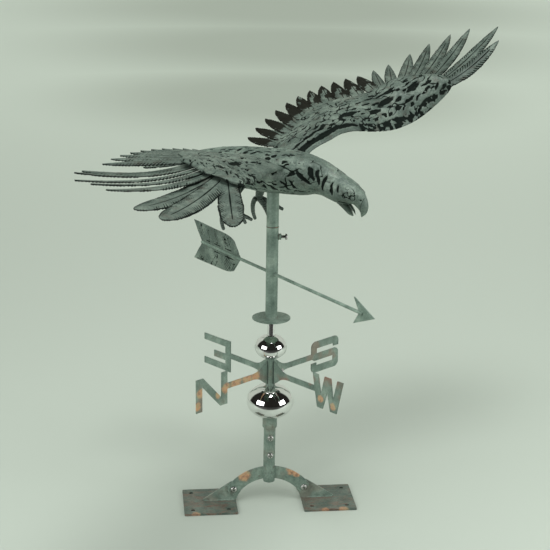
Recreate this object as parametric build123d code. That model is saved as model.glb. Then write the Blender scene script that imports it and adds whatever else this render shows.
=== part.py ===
from build123d import *
from math import atan2, cos, degrees, hypot, radians, sin
import os

# Eagle weather vane, millimetres. The origin is where the mast axis meets the mounting
# plane, +Z is up and the long side of the base lies along X.

# ---- headings of the turning parts, degrees anticlockwise from +X ----
COMPASS_SOUTH_HEADING = 38.2
ARROW_HEADING = -62.6
EAGLE_HEADING = -41.5
SIDE_SCREW_HEADING = -6.5

# ---- fits ----
RUN = 0.06      # radial gap of a running fit
SEAT = 0.01     # gap between parts that are fixed to one another
NIP = 0.02      # gap between a set screw and the rod that it grips

# ---- base ----
PLATE_THICK = 3.0
PLATE_INNER_X = 54.0
PLATE_LENGTH = 86.0
PLATE_DEPTH = 90.0
FOOT_HOLE_SPACING_X = 58.0
FOOT_HOLE_SPACING_Y = 63.0
FOOT_HOLE_R = 3.5
ARCH_RADIUS = 72.6
ARCH_CENTRE_Z = -20.6
ARCH_BAND = 20.6
ARCH_THICK = 3.0
PIVOT_X = 57.9
PIVOT_Z = 23.2
LUG_OUTER_X = 108.0
LUG_RADIUS = 12.5
PIVOT_BOLT_R = 3.0

# ---- socket and mast ----
SOCKET_R = 9.5
SOCKET_BORE_R = 6.45
SOCKET_BOTTOM_Z = 37.0
SOCKET_TOP_Z = 132.0
SOCKET_SCREW_Z = (87.7, 118.2)
COLLAR_R = 11.75
COLLAR_TOP_Z = 149.7
MAST_R = 6.35
MAST_BOTTOM_Z = 66.0
MAST_TOP_Z = 374.0
PIVOT_BALL_R = 4.0
PIVOT_BALL_Z = 375.0

# ---- balls ----
BIG_BALL_R = 38.2
BIG_BALL_HALF_HEIGHT = 28.2
BIG_BALL_Z = 177.6
SMALL_BALL_R = 25.8
SMALL_BALL_HALF_HEIGHT = 20.0
SMALL_BALL_Z = 270.2
BALL_WALL = 1.0
BALL_BORE_R = 6.6

# ---- compass ----
HUB_Z = 228.0
HUB_HEIGHT = 45.0
HUB_R = 7.6
ARM_THICK = 1.8
ARM_ROOT_HALF = 21.5
ARM_HALF = 4.6
ARM_FLARE_X = 38.0
LETTER_X = 94.0
LETTER_WIDTH = 64.0
LETTER_TOP = 25.0
LETTER_BOTTOM = -29.0
STROKE = 12.0
LETTER_CORNER_R = 9.0

# ---- arrow vane ----
TUBE_R = 9.525
TUBE_BORE_R = 8.0
DISC_R = 30.25
DISC_Z = 317.6
DISC_THICK = 1.5
VANE_TOP_Z = 467.0
BUSH_HEIGHT = 22.0
CAP_BOTTOM_Z = 375.6
CAP_TOP_Z = 388.0
ARROW_Z = 392.0
ARROW_R = 2.5
ARROW_TIP_X = 262.0
ARROW_NOTCH_X = 227.0
ARROW_BARB_X = 213.5
ARROW_HALF = 20.0
ARROW_TAIL_X = -214.0
FLETCH_TIP_X = -240.0
FLETCH_FRONT_X = -93.0
FLETCH_HALF = 33.5
FLETCH_THICK = 1.6
POST_SCREW_Z = 451.2

# ---- set screws: shank, pan head and the welded nut ----
SCREW_R = 2.5
SCREW_HEAD_R = 4.75
SCREW_HEAD = 3.6
NUT_ACROSS = 8.5
NUT_HEIGHT = 4.2
SOCKET_SCREW_GAP = 1.2  # from the nut to the head of a socket screw
SIDE_SCREW_GAP = 6.2    # from the nut to the head of the hub's and the post's screws

# ---- eagle post ----
RING_HEIGHT = 0.9
RING_STANDS_OUT = 0.25
SPIGOT_BOTTOM_Z = 404.0
SPIGOT_TOP_Z = 500.0
POST_TOP_Z = 538.0
SADDLE_THICK = 2.5

# ---- eagle body, in the bird's frame: X forward, Y to its left ----
SKIN = 1.5
BODY_STATIONS = (  # x, top z, bottom z, half width
    (-150, 567, 549, 20),
    (-112, 577, 535, 29),
    (-62, 585, 524, 37),
    (0, 590, 522, 41),
    (40, 591, 525, 40),
    (68, 588, 528, 34),
)
NECK_ORIGIN = (132.5, 541.0)    # x and z of the head frame
NECK_PITCH = 21.5               # degrees that the head points down
NECK_STATIONS = (  # along the head, top, bottom, half width
    (-44, 25.0, -23.0, 26),
    (-22, 22.5, -22.0, 22),
    (0, 21.0, -19.5, 19.5),
    (15, 18.5, -11.0, 15.5),
    (27, 14.0, -8.5, 9.5),
)
EYE_PLACE = (18.6, 3.5)
EYE_SIDE = 12.8
EYE_R = 3.2

# ---- eagle wings, symmetric about the bird's centre plane before bank and twist ----
WING_Z = 533.4
WING_BANK = 0.0945      # rise of the left wing per unit of span
WING_TWIST = 0.13       # nose-up lean of the left wing, nose-down lean of the right
WING_SKIN = 2.4
FEATHER_THICK = 1.2
PRIMARY_WIDTH = 27.0
SECONDARY_WIDTH = 25.0
# span, leading x, leading rise, trailing x, trailing rise, camber
LEFT_STATIONS = (
    (26, 46, 40, -50, 42, 5),
    (64, 53, 52, -43, 50, 10),
    (100, 61, 57, -43, 61, 14),
    (140, 72, 51, -44, 76, 17),
    (184, 89, 40, -32, 87, 20),
    (216, 102, 38, 0, 88, 22),
    (243, 118, 46, 28, 95, 22),
    (264, 136, 64, 42, 103, 20),
    (280, 150, 86, 66, 106, 12),
    (291, 138, 100, 94, 106, 3),
)
RIGHT_STATIONS = (
    (26, 46, 40, -50, 42, 5),
    (64, 53, 55, -43, 50, 10),
    (100, 61, 61, -43, 62, 12),
    (140, 72, 66, -44, 77, 12),
    (184, 89, 79, -34, 90, 11),
    (216, 104, 97, -6, 102, 8),
    (243, 122, 111, 20, 112, 6),
    (264, 138, 117, 32, 119, 5),
    (278, 152, 119, 58, 122, 3),
    (289, 136, 121, 92, 122, 2),
)
LEFT_PRIMARY_TIPS = (  # x, span, rise
    (181, 379, 141),
    (141, 456, 152),
    (91, 450, 152),
    (55, 449, 144),
    (21, 437, 132),
    (-12, 429, 117),
    (-38, 400, 105),
    (-52, 373, 101),
)
RIGHT_PRIMARY_TIPS = (
    (208, 378, 109),
    (160, 456, 127),
    (113, 450, 124),
    (64, 447, 134),
    (27, 435, 128),
    (-8, 427, 121),
    (-37, 397, 115),
    (-50, 369, 106),
)
HAND_X = (130.0, 29.0)              # where the first and last primary leave the sheet
HAND_SPAN = (286.0, 266.0)
PRIMARY_HIDDEN = 24.0               # length of a primary under the sheet
FEATHER_GAP = 2.4                   # from the underside of the sheet to a feather's middle
FEATHER_LEAN = 8.0                  # degrees that each feather leans about its own length
SECONDARY_COUNT = 11
SECONDARY_ROOT_SPAN = (62.0, 238.0)
SECONDARY_ROOT_COVER = 12.0         # length of a secondary under the sheet
SECONDARY_TIP_SPAN = (61.0, 331.0)
LEFT_SECONDARY_X = (-94.0, -58.0, 1.5)      # first tip, last tip, easing between them
RIGHT_SECONDARY_X = (-94.0, -48.0, 3.0)
LEFT_SECONDARY_RISE = (59.0, 100.0, 2.2)
RIGHT_SECONDARY_RISE = (44.0, 106.0, 1.15)
LEFT_SECONDARY_ARCH = 7.0                   # extra rise halfway along the row
RIGHT_SECONDARY_ARCH = 0.0

# ---- tail and legs ----
TAIL_COUNT = 7
TAIL_ROOT = (-132.0, 562.0)
TAIL_TIP = (-244.0, 545.0)
TAIL_HALF_WIDTH = 32.0
TAIL_DROOP = 5.0
LEG_Y = 40.0
ANKLE = (-56.0, 499.0)


def turned(part, heading):
    """The part swung about the mast axis to its heading."""
    return Rot(0, 0, heading) * part


def tube(outer, inner, bottom, top):
    ring = Circle(outer) - Circle(inner)
    return Pos(0, 0, bottom) * extrude(ring, top - bottom)


def rod(radius, bottom, top):
    return Pos(0, 0, bottom) * extrude(Circle(radius), top - bottom)


def along_x(radius, start, stop):
    """A round bar on the X axis."""
    return Plane.YZ.offset(start) * extrude(Circle(radius), stop - start)


def upright(sketch, thick, y=0.0):
    """A sketch drawn in X and Z, thickened equally about the plane at y."""
    return Pos(0, y, 0) * extrude(Plane.XZ * sketch, thick / 2, both=True)


def joined(pieces):
    """Separate solids kept as one group."""
    solids = []
    for piece in pieces:
        solids += piece.solids()
    return Compound(children=solids)


# ---------------------------------------------------------------- base

def arch_plate():
    start = degrees(atan2(PIVOT_Z - ARCH_CENTRE_Z, PIVOT_X))
    line = CenterArc((0, ARCH_CENTRE_Z), ARCH_RADIUS, start, 180 - 2 * start)
    band = SlotArc(line, ARCH_BAND)
    for x in (-PIVOT_X, PIVOT_X):
        band -= Pos(x, PIVOT_Z) * Circle(PIVOT_BOLT_R + SEAT)
    return upright(band, ARCH_THICK)


def foot_plate(side):
    centre = side * (PLATE_INNER_X + PLATE_LENGTH / 2)
    outline = RectangleRounded(PLATE_LENGTH, PLATE_DEPTH, 2)
    holes = GridLocations(FOOT_HOLE_SPACING_X, FOOT_HOLE_SPACING_Y, 2, 2)
    outline -= holes * Circle(FOOT_HOLE_R)
    return Pos(centre, 0, 0) * extrude(outline, PLATE_THICK)


def lug_y():
    return ARCH_THICK + RUN


def foot_lug(side):
    foot = PLATE_THICK + SEAT
    wedge = make_face(Polyline(
        (PLATE_INNER_X, foot),
        (LUG_OUTER_X, foot),
        (LUG_OUTER_X, foot + 2),
        (PIVOT_X + LUG_RADIUS * 0.55, PIVOT_Z + LUG_RADIUS * 0.83),
        (PIVOT_X - LUG_RADIUS, PIVOT_Z),
        (PLATE_INNER_X, foot),
    ))
    outline = wedge + Pos(PIVOT_X, PIVOT_Z) * Circle(LUG_RADIUS)
    outline -= Pos(PIVOT_X, PIVOT_Z) * Circle(PIVOT_BOLT_R + RUN)
    lug = upright(outline, ARCH_THICK, lug_y())
    return lug if side > 0 else mirror(lug, Plane.YZ)


def pivot_bolt(side):
    """Dome-headed bolt with its head on the front of the arch."""
    front = ARCH_THICK / 2 + SEAT
    length = 2 * ARCH_THICK + 11
    bolt = extrude(Circle(PIVOT_BOLT_R), length)
    head = fillet(extrude(Circle(5.2), -3.4).faces().sort_by(Axis.Z)[0].edges(), 2.6)
    head -= Pos(0, 0, -3.5) * extrude(RegularPolygon(1.9, 6), 1.8)
    whole = bolt + head
    placed = Pos(side * PIVOT_X, -front, PIVOT_Z) * Rot(-90, 0, 0) * whole
    return placed


def pivot_washer(side):
    start = lug_y() + ARCH_THICK / 2 + RUN
    ring = Circle(6.4) - Circle(PIVOT_BOLT_R + RUN)
    washer = extrude(ring, 1.2)
    return Pos(side * PIVOT_X, start, PIVOT_Z) * Rot(-90, 0, 0) * washer


def pivot_nut(side):
    start = lug_y() + ARCH_THICK / 2 + 1.2 + 2 * RUN
    ring = RegularPolygon(5.0, 6, major_radius=False) - Circle(PIVOT_BOLT_R + SEAT)
    nut = extrude(ring, 5)
    return Pos(side * PIVOT_X, start, PIVOT_Z) * Rot(-90, 0, 0) * nut


# ---------------------------------------------------------------- socket, mast and balls

def socket_tube():
    body = tube(SOCKET_R, SOCKET_BORE_R, SOCKET_BOTTOM_Z, SOCKET_TOP_Z)
    slot_top = ARCH_CENTRE_Z + ARCH_RADIUS + ARCH_BAND / 2 + SEAT
    from_floor = (Align.CENTER, Align.CENTER, Align.MIN)
    body -= Box(3 * SOCKET_R, ARCH_THICK + 2 * SEAT, slot_top, align=from_floor)
    for z in SOCKET_SCREW_Z:
        hole = Rot(0, 0, -90) * along_x(SCREW_R + RUN, 0, 2 * SOCKET_R)
        body -= Pos(0, 0, z) * hole
    return body


def ball_collar():
    collar = tube(COLLAR_R, SOCKET_BORE_R, SOCKET_TOP_Z + SEAT, COLLAR_TOP_Z)
    rims = collar.edges().filter_by(GeomType.CIRCLE).filter_by(lambda e: e.radius > SOCKET_R)
    return fillet(rims, 1.5)


def screw_nut(surface_r, z, heading):
    """Hexagon nut welded on a tube, with its axis across the tube."""
    ring = RegularPolygon(NUT_ACROSS / 2, 6, major_radius=False) - Circle(SCREW_R + RUN)
    nut = Plane.YZ.offset(surface_r + SEAT) * extrude(ring, NUT_HEIGHT)
    return Rot(0, 0, heading) * Pos(0, 0, z) * nut


def set_screw(tip_r, head_r, z, heading):
    """Pan-head screw: its tip bears on the rod, its head starts at head_r."""
    shank = along_x(SCREW_R, tip_r, head_r + 0.5)
    head = along_x(SCREW_HEAD_R, head_r, head_r + SCREW_HEAD)
    rim = head.faces().sort_by(Axis.X)[-1].edges()
    head = fillet(rim, 2.2)
    slot = Pos(head_r + SCREW_HEAD, 0, 0) * Box(2.4, 1.2, 6)
    cross = Pos(head_r + SCREW_HEAD, 0, 0) * Box(2.4, 6, 1.2)
    screw = shank + head - slot - cross
    return Rot(0, 0, heading) * Pos(0, 0, z) * screw


def mast_rod():
    mast = rod(MAST_R, MAST_BOTTOM_Z, MAST_TOP_Z)
    mast = chamfer(mast.faces().sort_by(Axis.Z)[-1].edges(), 1.2)
    return mast - Pos(0, 0, PIVOT_BALL_Z) * Sphere(PIVOT_BALL_R + SEAT)


def pivot_ball():
    return Pos(0, 0, PIVOT_BALL_Z) * Sphere(PIVOT_BALL_R)


def hollow_ball(radius, half_height, z):
    """Flattened hollow ball with a hole for the mast at each pole."""
    outer = Ellipse(radius, half_height)
    inner = Ellipse(radius - BALL_WALL, half_height - BALL_WALL)
    half = Pos(BALL_BORE_R + radius, 0) * Rectangle(2 * radius, 2 * radius)
    return Pos(0, 0, z) * revolve(Plane.XZ * ((outer - inner) & half), Axis.Z)


# ---------------------------------------------------------------- compass

def hub_tube():
    hub = tube(HUB_R, MAST_R + RUN, HUB_Z - HUB_HEIGHT / 2, HUB_Z + HUB_HEIGHT / 2)
    hole = along_x(SCREW_R + RUN, 0, 2 * HUB_R)
    return hub - Pos(0, 0, HUB_Z) * Rot(0, 0, SIDE_SCREW_HEADING) * hole


def arm_outline():
    """Flared root at the hub, running out to a plain strip."""
    start = HUB_R + SEAT
    reach = LETTER_X + STROKE / 2
    strip = Pos((ARM_FLARE_X + reach) / 2, 0) * Rectangle(reach - ARM_FLARE_X + 0.2, 2 * ARM_HALF)
    upper = Spline(
        (start, ARM_ROOT_HALF),
        (start + 5, ARM_ROOT_HALF * 0.78),
        (start + 12, ARM_ROOT_HALF * 0.53),
        (ARM_FLARE_X, ARM_HALF),
        tangents=((0.25, -1), (1, -0.08)),
    )
    lower = mirror(upper, Plane.XZ)
    root = make_face([
        upper,
        Line((ARM_FLARE_X, ARM_HALF), (ARM_FLARE_X, -ARM_HALF)),
        lower,
        Line((start, -ARM_ROOT_HALF), (start, ARM_ROOT_HALF)),
    ])
    return root + strip


def bar(start, stop, width=STROKE):
    """A straight stroke of a letter, cut square at its ends."""
    dx = stop[0] - start[0]
    dy = stop[1] - start[1]
    middle = ((start[0] + stop[0]) / 2, (start[1] + stop[1]) / 2)
    return Pos(*middle) * Rot(0, 0, degrees(atan2(dy, dx))) * Rectangle(hypot(dx, dy), width)


def slanted(inner_x, outer_x, foot_x, foot_outer_x):
    """A stroke with level ends, given by its two top and two bottom corners."""
    return make_face(Polyline(
        (inner_x, LETTER_TOP),
        (outer_x, LETTER_TOP),
        (foot_outer_x, LETTER_BOTTOM),
        (foot_x, LETTER_BOTTOM),
        (inner_x, LETTER_TOP),
    ))


def letter_north():
    """N, read with its far stroke on the left."""
    inner = slanted(LETTER_X, LETTER_X + STROKE, LETTER_X, LETTER_X + STROKE)
    far = LETTER_X + LETTER_WIDTH
    outer = slanted(far - STROKE, far, far - STROKE, far)
    across = slanted(far - 1.2 * STROKE, far, LETTER_X, LETTER_X + 1.2 * STROKE)
    return inner + outer + across


def letter_west():
    """W with its middle peak at full height."""
    quarter = LETTER_WIDTH / 4
    x = LETTER_X
    slope = 0.55 * STROKE
    first = slanted(x, x + STROKE, x + slope + 4, x + slope + 4 + STROKE)
    peak = x + 2 * quarter
    second = slanted(peak - slope, peak + slope, x + slope + 6, x + slope + 4 + STROKE)
    foot = x + 3 * quarter - 3
    third = slanted(peak - slope, peak + slope, foot - slope, foot + 2)
    fourth = slanted(x + LETTER_WIDTH - STROKE, x + LETTER_WIDTH, foot - slope, foot + slope)
    return first + second + third + fourth


def letter_east():
    """E with its spine on the arm and its strokes pointing outward."""
    letter = slanted(LETTER_X, LETTER_X + STROKE, LETTER_X, LETTER_X + STROKE)
    far = LETTER_X + LETTER_WIDTH
    strokes = (
        (LETTER_TOP - STROKE / 2, far),
        (1 - STROKE / 2, far - 2 * STROKE),
        (LETTER_BOTTOM + STROKE / 2, far),
    )
    for level, reach in strokes:
        letter += bar((LETTER_X + 1, level), (reach, level), STROKE - 1)
    return letter


def letter_south():
    """S with rounded outer corners, made of an upper hook and a lower hook."""
    near = LETTER_X
    far = LETTER_X + LETTER_WIDTH
    top = LETTER_TOP
    foot = LETTER_BOTTOM
    mid = (top + foot) / 2
    half = STROKE / 2
    hook = 5.0      # length of the turned-down end of a hook
    outline = make_face(Polyline(
        (near, top), (far, top),
        (far, top - STROKE - hook), (far - STROKE, top - STROKE - hook), (far - STROKE, top - STROKE),
        (near + STROKE, top - STROKE), (near + STROKE, mid + half),
        (far, mid + half), (far, foot), (near, foot),
        (near, foot + STROKE + hook), (near + STROKE, foot + STROKE + hook), (near + STROKE, foot + STROKE),
        (far - STROKE, foot + STROKE), (far - STROKE, mid - half),
        (near, mid - half), (near, top),
    ))
    levels = (top, foot, mid + half, mid - half)
    corners = [v for v in outline.vertices() if is_letter_corner(v, (near, far), levels)]
    return fillet(corners, LETTER_CORNER_R)


def is_letter_corner(vertex, sides, levels):
    """True at the outer corners of the S: both ends of its top and foot, and its two middle turns."""
    x_hit = min(abs(vertex.X - side) for side in sides) < 0.1
    y_hit = min(abs(vertex.Y - level) for level in levels) < 0.1
    return x_hit and y_hit


def compass_arm(letter, heading):
    plate = upright(arm_outline() + letter, ARM_THICK)
    return Rot(0, 0, heading) * Pos(0, 0, HUB_Z) * plate


# ---------------------------------------------------------------- arrow vane

def vane_tube():
    body = tube(TUBE_R, TUBE_BORE_R, DISC_Z + DISC_THICK + SEAT, VANE_TOP_Z)
    shaft_hole = turned(along_x(ARROW_R + SEAT, -2 * TUBE_R, 2 * TUBE_R), ARROW_HEADING)
    body -= Pos(0, 0, ARROW_Z) * shaft_hole
    screw_hole = turned(along_x(SCREW_R + RUN, 0, 2 * TUBE_R), SIDE_SCREW_HEADING)
    return body - Pos(0, 0, POST_SCREW_Z) * screw_hole


def drip_disc():
    return tube(DISC_R, MAST_R + 0.3, DISC_Z, DISC_Z + DISC_THICK)


def lower_bush():
    start = DISC_Z + DISC_THICK + SEAT
    return tube(TUBE_BORE_R - SEAT, MAST_R + RUN, start, start + BUSH_HEIGHT)


def pivot_cap():
    plug = rod(TUBE_BORE_R - SEAT, CAP_BOTTOM_Z, CAP_TOP_Z)
    return plug - Pos(0, 0, PIVOT_BALL_Z) * Sphere(PIVOT_BALL_R + RUN)


def arrow_shaft():
    shaft = along_x(ARROW_R, ARROW_TAIL_X, ARROW_NOTCH_X + 8)
    return turned(Pos(0, 0, ARROW_Z) * shaft, ARROW_HEADING)


def arrow_head():
    outline = make_face(Polyline(
        (ARROW_TIP_X, 0),
        (ARROW_BARB_X, ARROW_HALF),
        (ARROW_NOTCH_X, 0),
        (ARROW_BARB_X, -ARROW_HALF),
        (ARROW_TIP_X, 0),
    ))
    slot = Pos(ARROW_NOTCH_X, 0) * Rectangle(16 + 2 * SEAT, 2 * (ARROW_R + SEAT))
    head = upright(outline - slot, 2.0)
    return turned(Pos(0, 0, ARROW_Z) * head, ARROW_HEADING)


def arrow_fletching():
    """Two swallow-tailed vanes, one above and one below the shaft."""
    gap = ARROW_R + SEAT
    vane = make_face([
        Line((ARROW_TAIL_X, gap), (FLETCH_TIP_X, FLETCH_HALF)),
        Spline(
            (FLETCH_TIP_X, FLETCH_HALF),
            (-160, FLETCH_HALF - 1.5),
            (-110, FLETCH_HALF - 9),
            (FLETCH_FRONT_X, gap),
            tangents=((1, 0.02), (0.05, -1)),
        ),
        Line((FLETCH_FRONT_X, gap), (ARROW_TAIL_X, gap)),
    ])
    upper = upright(vane, FLETCH_THICK)
    pair = joined([upper, mirror(upper, Plane.XY)])
    return turned(Pos(0, 0, ARROW_Z) * pair, ARROW_HEADING)


# ---------------------------------------------------------------- eagle post

def joint_ring():
    bottom = VANE_TOP_Z + RUN
    return tube(TUBE_R + RING_STANDS_OUT, TUBE_BORE_R + SEAT, bottom, bottom + RING_HEIGHT)


def post_tube():
    return tube(TUBE_R, TUBE_BORE_R, VANE_TOP_Z + RUN + RING_HEIGHT + SEAT, POST_TOP_Z)


def post_spigot():
    spigot = rod(TUBE_BORE_R - RUN, SPIGOT_BOTTOM_Z, SPIGOT_TOP_Z)
    return chamfer(spigot.faces().sort_by(Axis.Z)[0].edges(), 1.5)


def post_saddle():
    """Plate soldered inside the bird on top of its post."""
    plate = SlotOverall(74, 30) - Pos(20, 0) * Circle(3) - Pos(-20, 0) * Circle(3)
    return turned(Pos(0, 0, POST_TOP_Z + SEAT) * extrude(plate, SADDLE_THICK), EAGLE_HEADING)


# ---------------------------------------------------------------- eagle body and head

def head_plane(along):
    """Upright section plane at a distance along the pitched head."""
    pitch = radians(NECK_PITCH)
    x = NECK_ORIGIN[0] + along * cos(pitch)
    z = NECK_ORIGIN[1] - along * sin(pitch)
    return Plane(origin=(x, 0, z), x_dir=(0, 1, 0), z_dir=(cos(pitch), 0, -sin(pitch)))


def oval(plane, top, bottom, half_width, inset):
    """Elliptical section between two heights measured in the plane."""
    shape = Ellipse(half_width - inset, (top - bottom) / 2 - inset)
    return plane * (Pos(0, (top + bottom) / 2) * shape)


def body_sections(inset):
    sections = []
    for x, top, bottom, half_width in BODY_STATIONS:
        plane = Plane(origin=(x, 0, 0), x_dir=(0, 1, 0), z_dir=(1, 0, 0))
        sections.append(oval(plane, top, bottom, half_width, inset))
    along, top, bottom, half_width = NECK_STATIONS[0]
    sections.append(oval(head_plane(along), top, bottom, half_width, inset))
    return sections


def body_half(side):
    """One stamped half of the hollow body, open at the neck and at the tail."""
    seam = Plane.XZ.offset(-side * SEAT)
    keep = Keep.BOTTOM if side > 0 else Keep.TOP
    outer = split(loft(body_sections(0)), seam, keep=keep)
    inner = split(loft(body_sections(SKIN)), seam, keep=keep)
    post_hole = rod(TUBE_R + RUN, POST_TOP_Z - 40, POST_TOP_Z)
    return turned(outer - inner - post_hole, EAGLE_HEADING)


def head_shell():
    outer = []
    inner = []
    for along, top, bottom, half_width in NECK_STATIONS:
        step = 0.3 if along == NECK_STATIONS[0][0] else 0
        outer.append(oval(head_plane(along + step), top, bottom, half_width, 0))
        inner.append(oval(head_plane(along - 0.5), top, bottom, half_width, SKIN))
    shell = loft(outer) - loft(inner[:-1])
    for side in (-1, 1):
        shell -= eyeball(side, EYE_R + SEAT)
    return turned(shell, EAGLE_HEADING)


def head_profile(points, thick):
    """A flat plate cut to a side outline in the head frame, centred on the bird."""
    outline = make_face(Spline(*points, periodic=True))
    plane = Plane(origin=head_plane(0).origin, x_dir=head_plane(0).z_dir, z_dir=(0, -1, 0))
    return turned(extrude(plane * outline, thick / 2, both=True), EAGLE_HEADING)


def upper_beak():
    return head_profile((
        (25, 15), (34, 9), (41, 1), (43, -7), (41.5, -15), (37.5, -21),
        (35.5, -16), (31.5, -12.5), (25, -8.5), (22, 2),
    ), 13)


def lower_beak():
    return head_profile((
        (2, -17), (9, -23.5), (17, -27.3), (24, -26.5), (19, -21), (12, -14.5), (4, -12),
    ), 11)


def tongue():
    return head_profile(((11, -11.5), (20, -16), (27, -21.5), (18, -17.8), (11, -13.6)), 5)


def eyeball(side, radius):
    plane = head_plane(EYE_PLACE[0])
    centre = plane.origin + plane.y_dir * EYE_PLACE[1]
    return Pos(centre.X, side * EYE_SIDE, centre.Z) * Sphere(radius)


def eyes():
    return turned(joined([eyeball(-1, EYE_R), eyeball(1, EYE_R)]), EAGLE_HEADING)


# ---------------------------------------------------------------- eagle wings

def wing_point(side, x, span, rise):
    """Point of a wing after the bird's bank and the lean of that wing."""
    return Vector(x, side * span, WING_Z + rise + side * (WING_BANK * span + WING_TWIST * x))


def bulge(share):
    """Height of the camber line, 0 to 1, fullest at two fifths of the chord."""
    if share < 0.4:
        return 1 - (1 - share / 0.4) ** 2
    return 1 - ((share - 0.4) / 0.6) ** 2


def wing_section(side, station, skin=WING_SKIN):
    """Closed outline of the cambered sheet at one distance from the body."""
    span, lead_x, lead_rise, trail_x, trail_rise, camber = station
    lead = wing_point(side, lead_x, span, lead_rise)
    trail = wing_point(side, trail_x, span, trail_rise)
    up = Vector(0, 0, 1)
    upper = []
    for share in (0, 0.12, 0.4, 0.75, 1):
        upper.append(lead + (trail - lead) * share + up * (camber * bulge(share)))
    lower = [point - up * skin for point in upper]
    return Face(Wire([
        Edge.make_spline(upper),
        Edge.make_line(upper[-1], lower[-1]),
        Edge.make_spline(lower[::-1]),
        Edge.make_line(lower[0], upper[0]),
    ]))


def wing_shell(side, stations):
    sections = [wing_section(side, station) for station in stations]
    return turned(loft(sections), EAGLE_HEADING)


def at_span(stations, span):
    """Station values found by straight-line interpolation."""
    for low, high in zip(stations, stations[1:]):
        if span <= high[0]:
            share = (span - low[0]) / (high[0] - low[0])
            return tuple(a + (b - a) * share for a, b in zip(low, high))
    return stations[-1]


def wing_height(stations, x, span):
    """Rise of the sheet's upper face over a point of the wing."""
    _, lead_x, lead_rise, trail_x, trail_rise, camber = at_span(stations, span)
    share = min(max((lead_x - x) / (lead_x - trail_x), 0), 1)
    return lead_rise + (trail_rise - lead_rise) * share + camber * bulge(share)


def feather(root, tip, across, width, lean, quill=0.36, fullness=0.58):
    """Thin blade from root to tip. It lies along across, then leans about its own length."""
    axis = tip - root
    length = axis.length
    normal = axis.cross(across).normalized()
    if normal.Z < 0:
        normal = normal * -1
    normal = normal.rotate(Axis((0, 0, 0), axis), lean)
    half = width / 2
    edge = Spline(
        (0, quill * half),
        (0.3 * length, 0.78 * half),
        (0.62 * length, half),
        (0.9 * length, fullness * half),
        (length, 0),
        tangents=((1, 0.1), (0.25, -1)),
    )
    outline = make_face([edge, mirror(edge, Plane.XZ), Line((0, -quill * half), (0, quill * half))])
    plane = Plane(origin=root, x_dir=axis, z_dir=normal)
    return extrude(plane * outline, FEATHER_THICK / 2, both=True)


def feather_row(roots, tips, widths, lean, quill, fullness, reach):
    """Feathers side by side, each lying along the line of the roots within reach of its own."""
    blades = []
    for i, (root, tip, width) in enumerate(zip(roots, tips, widths)):
        across = roots[min(i + reach, len(roots) - 1)] - roots[max(i - reach, 0)]
        blades.append(feather(root, tip, across, width, lean, quill, fullness))
    return turned(joined(blades), EAGLE_HEADING)


def primaries(side, stations, tip_places):
    """Eight long feathers that fan out from the hand of the wing."""
    roots = []
    tips = []
    last = len(tip_places) - 1
    for i, (x, span, rise) in enumerate(tip_places):
        t = i / last
        edge_x = HAND_X[0] + (HAND_X[1] - HAND_X[0]) * t
        edge_span = HAND_SPAN[0] + (HAND_SPAN[1] - HAND_SPAN[0]) * t * t
        share = PRIMARY_HIDDEN / hypot(x - edge_x, span - edge_span)
        root_x = edge_x - (x - edge_x) * share
        root_span = edge_span - (span - edge_span) * share
        root_rise = wing_height(stations, root_x, root_span) - WING_SKIN - FEATHER_GAP
        roots.append(wing_point(side, root_x, root_span, root_rise))
        tips.append(wing_point(side, x, span, rise))
    widths = [PRIMARY_WIDTH + 5] + [PRIMARY_WIDTH] * last
    return feather_row(roots, tips, widths, side * FEATHER_LEAN, 0.36, 0.55, last)


def between(ends, share):
    return ends[0] + (ends[1] - ends[0]) * share


def secondaries(side, stations, tip_xs, tip_rises, arch):
    """Short feathers along the trailing edge."""
    roots = []
    tips = []
    first_x, last_x, x_easing = tip_xs
    first_rise, last_rise, rise_easing = tip_rises
    for i in range(SECONDARY_COUNT):
        t = i / (SECONDARY_COUNT - 1)
        root_span = between(SECONDARY_ROOT_SPAN, t)
        root_x = at_span(stations, root_span)[3] + SECONDARY_ROOT_COVER
        root_rise = wing_height(stations, root_x, root_span) - WING_SKIN - FEATHER_GAP
        roots.append(wing_point(side, root_x, root_span, root_rise))
        tip_x = between((first_x, last_x), t ** x_easing)
        tip_span = between(SECONDARY_TIP_SPAN, t ** 1.15)
        tip_rise = between((first_rise, last_rise), 1 - (1 - t) ** rise_easing)
        tips.append(wing_point(side, tip_x, tip_span, tip_rise + arch * sin(radians(180 * t))))
    widths = [SECONDARY_WIDTH] * SECONDARY_COUNT
    return feather_row(roots, tips, widths, side * FEATHER_LEAN, 0.5, 0.66, 1)


# ---------------------------------------------------------------- tail, legs and talons

def tail_feathers():
    """A closed fan: the middle feather lies on top and the outer ones below it."""
    blades = []
    middle = TAIL_COUNT // 2
    for i in range(-middle, middle + 1):
        share = i / middle
        drop = 1.9 * abs(i)
        root = Vector(TAIL_ROOT[0], 9 * share, TAIL_ROOT[1] - drop)
        tip_x = TAIL_TIP[0] + 10 * share * share
        tip = Vector(tip_x, TAIL_HALF_WIDTH * share, TAIL_TIP[1] - drop - TAIL_DROOP * share * share)
        blades.append(feather(root, tip, Vector(0, 1, 0), 21, 0, 0.5, 0.66))
    return turned(joined(blades), EAGLE_HEADING)


def tapered(points, start_r, end_r):
    """A curved tapering horn with a rounded tip, such as a toe or a talon."""
    path = Spline(*points)
    discs = []
    for t in (0, 0.35, 0.7, 1):
        radius = start_r + (end_r - start_r) * t
        place = Plane(origin=path @ t, z_dir=path % t)
        discs.append(place * Circle(radius))
    return loft(discs)


def leg(side):
    """Feathered shank from the belly to the ankle."""
    x, z = ANKLE
    shank = tapered(
        ((x + 14, side * (LEG_Y - 12), z + 34), (x + 8, side * (LEG_Y - 5), z + 18), (x, side * LEG_Y, z)),
        9.0, 4.6)
    return turned(shank, EAGLE_HEADING)


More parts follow.
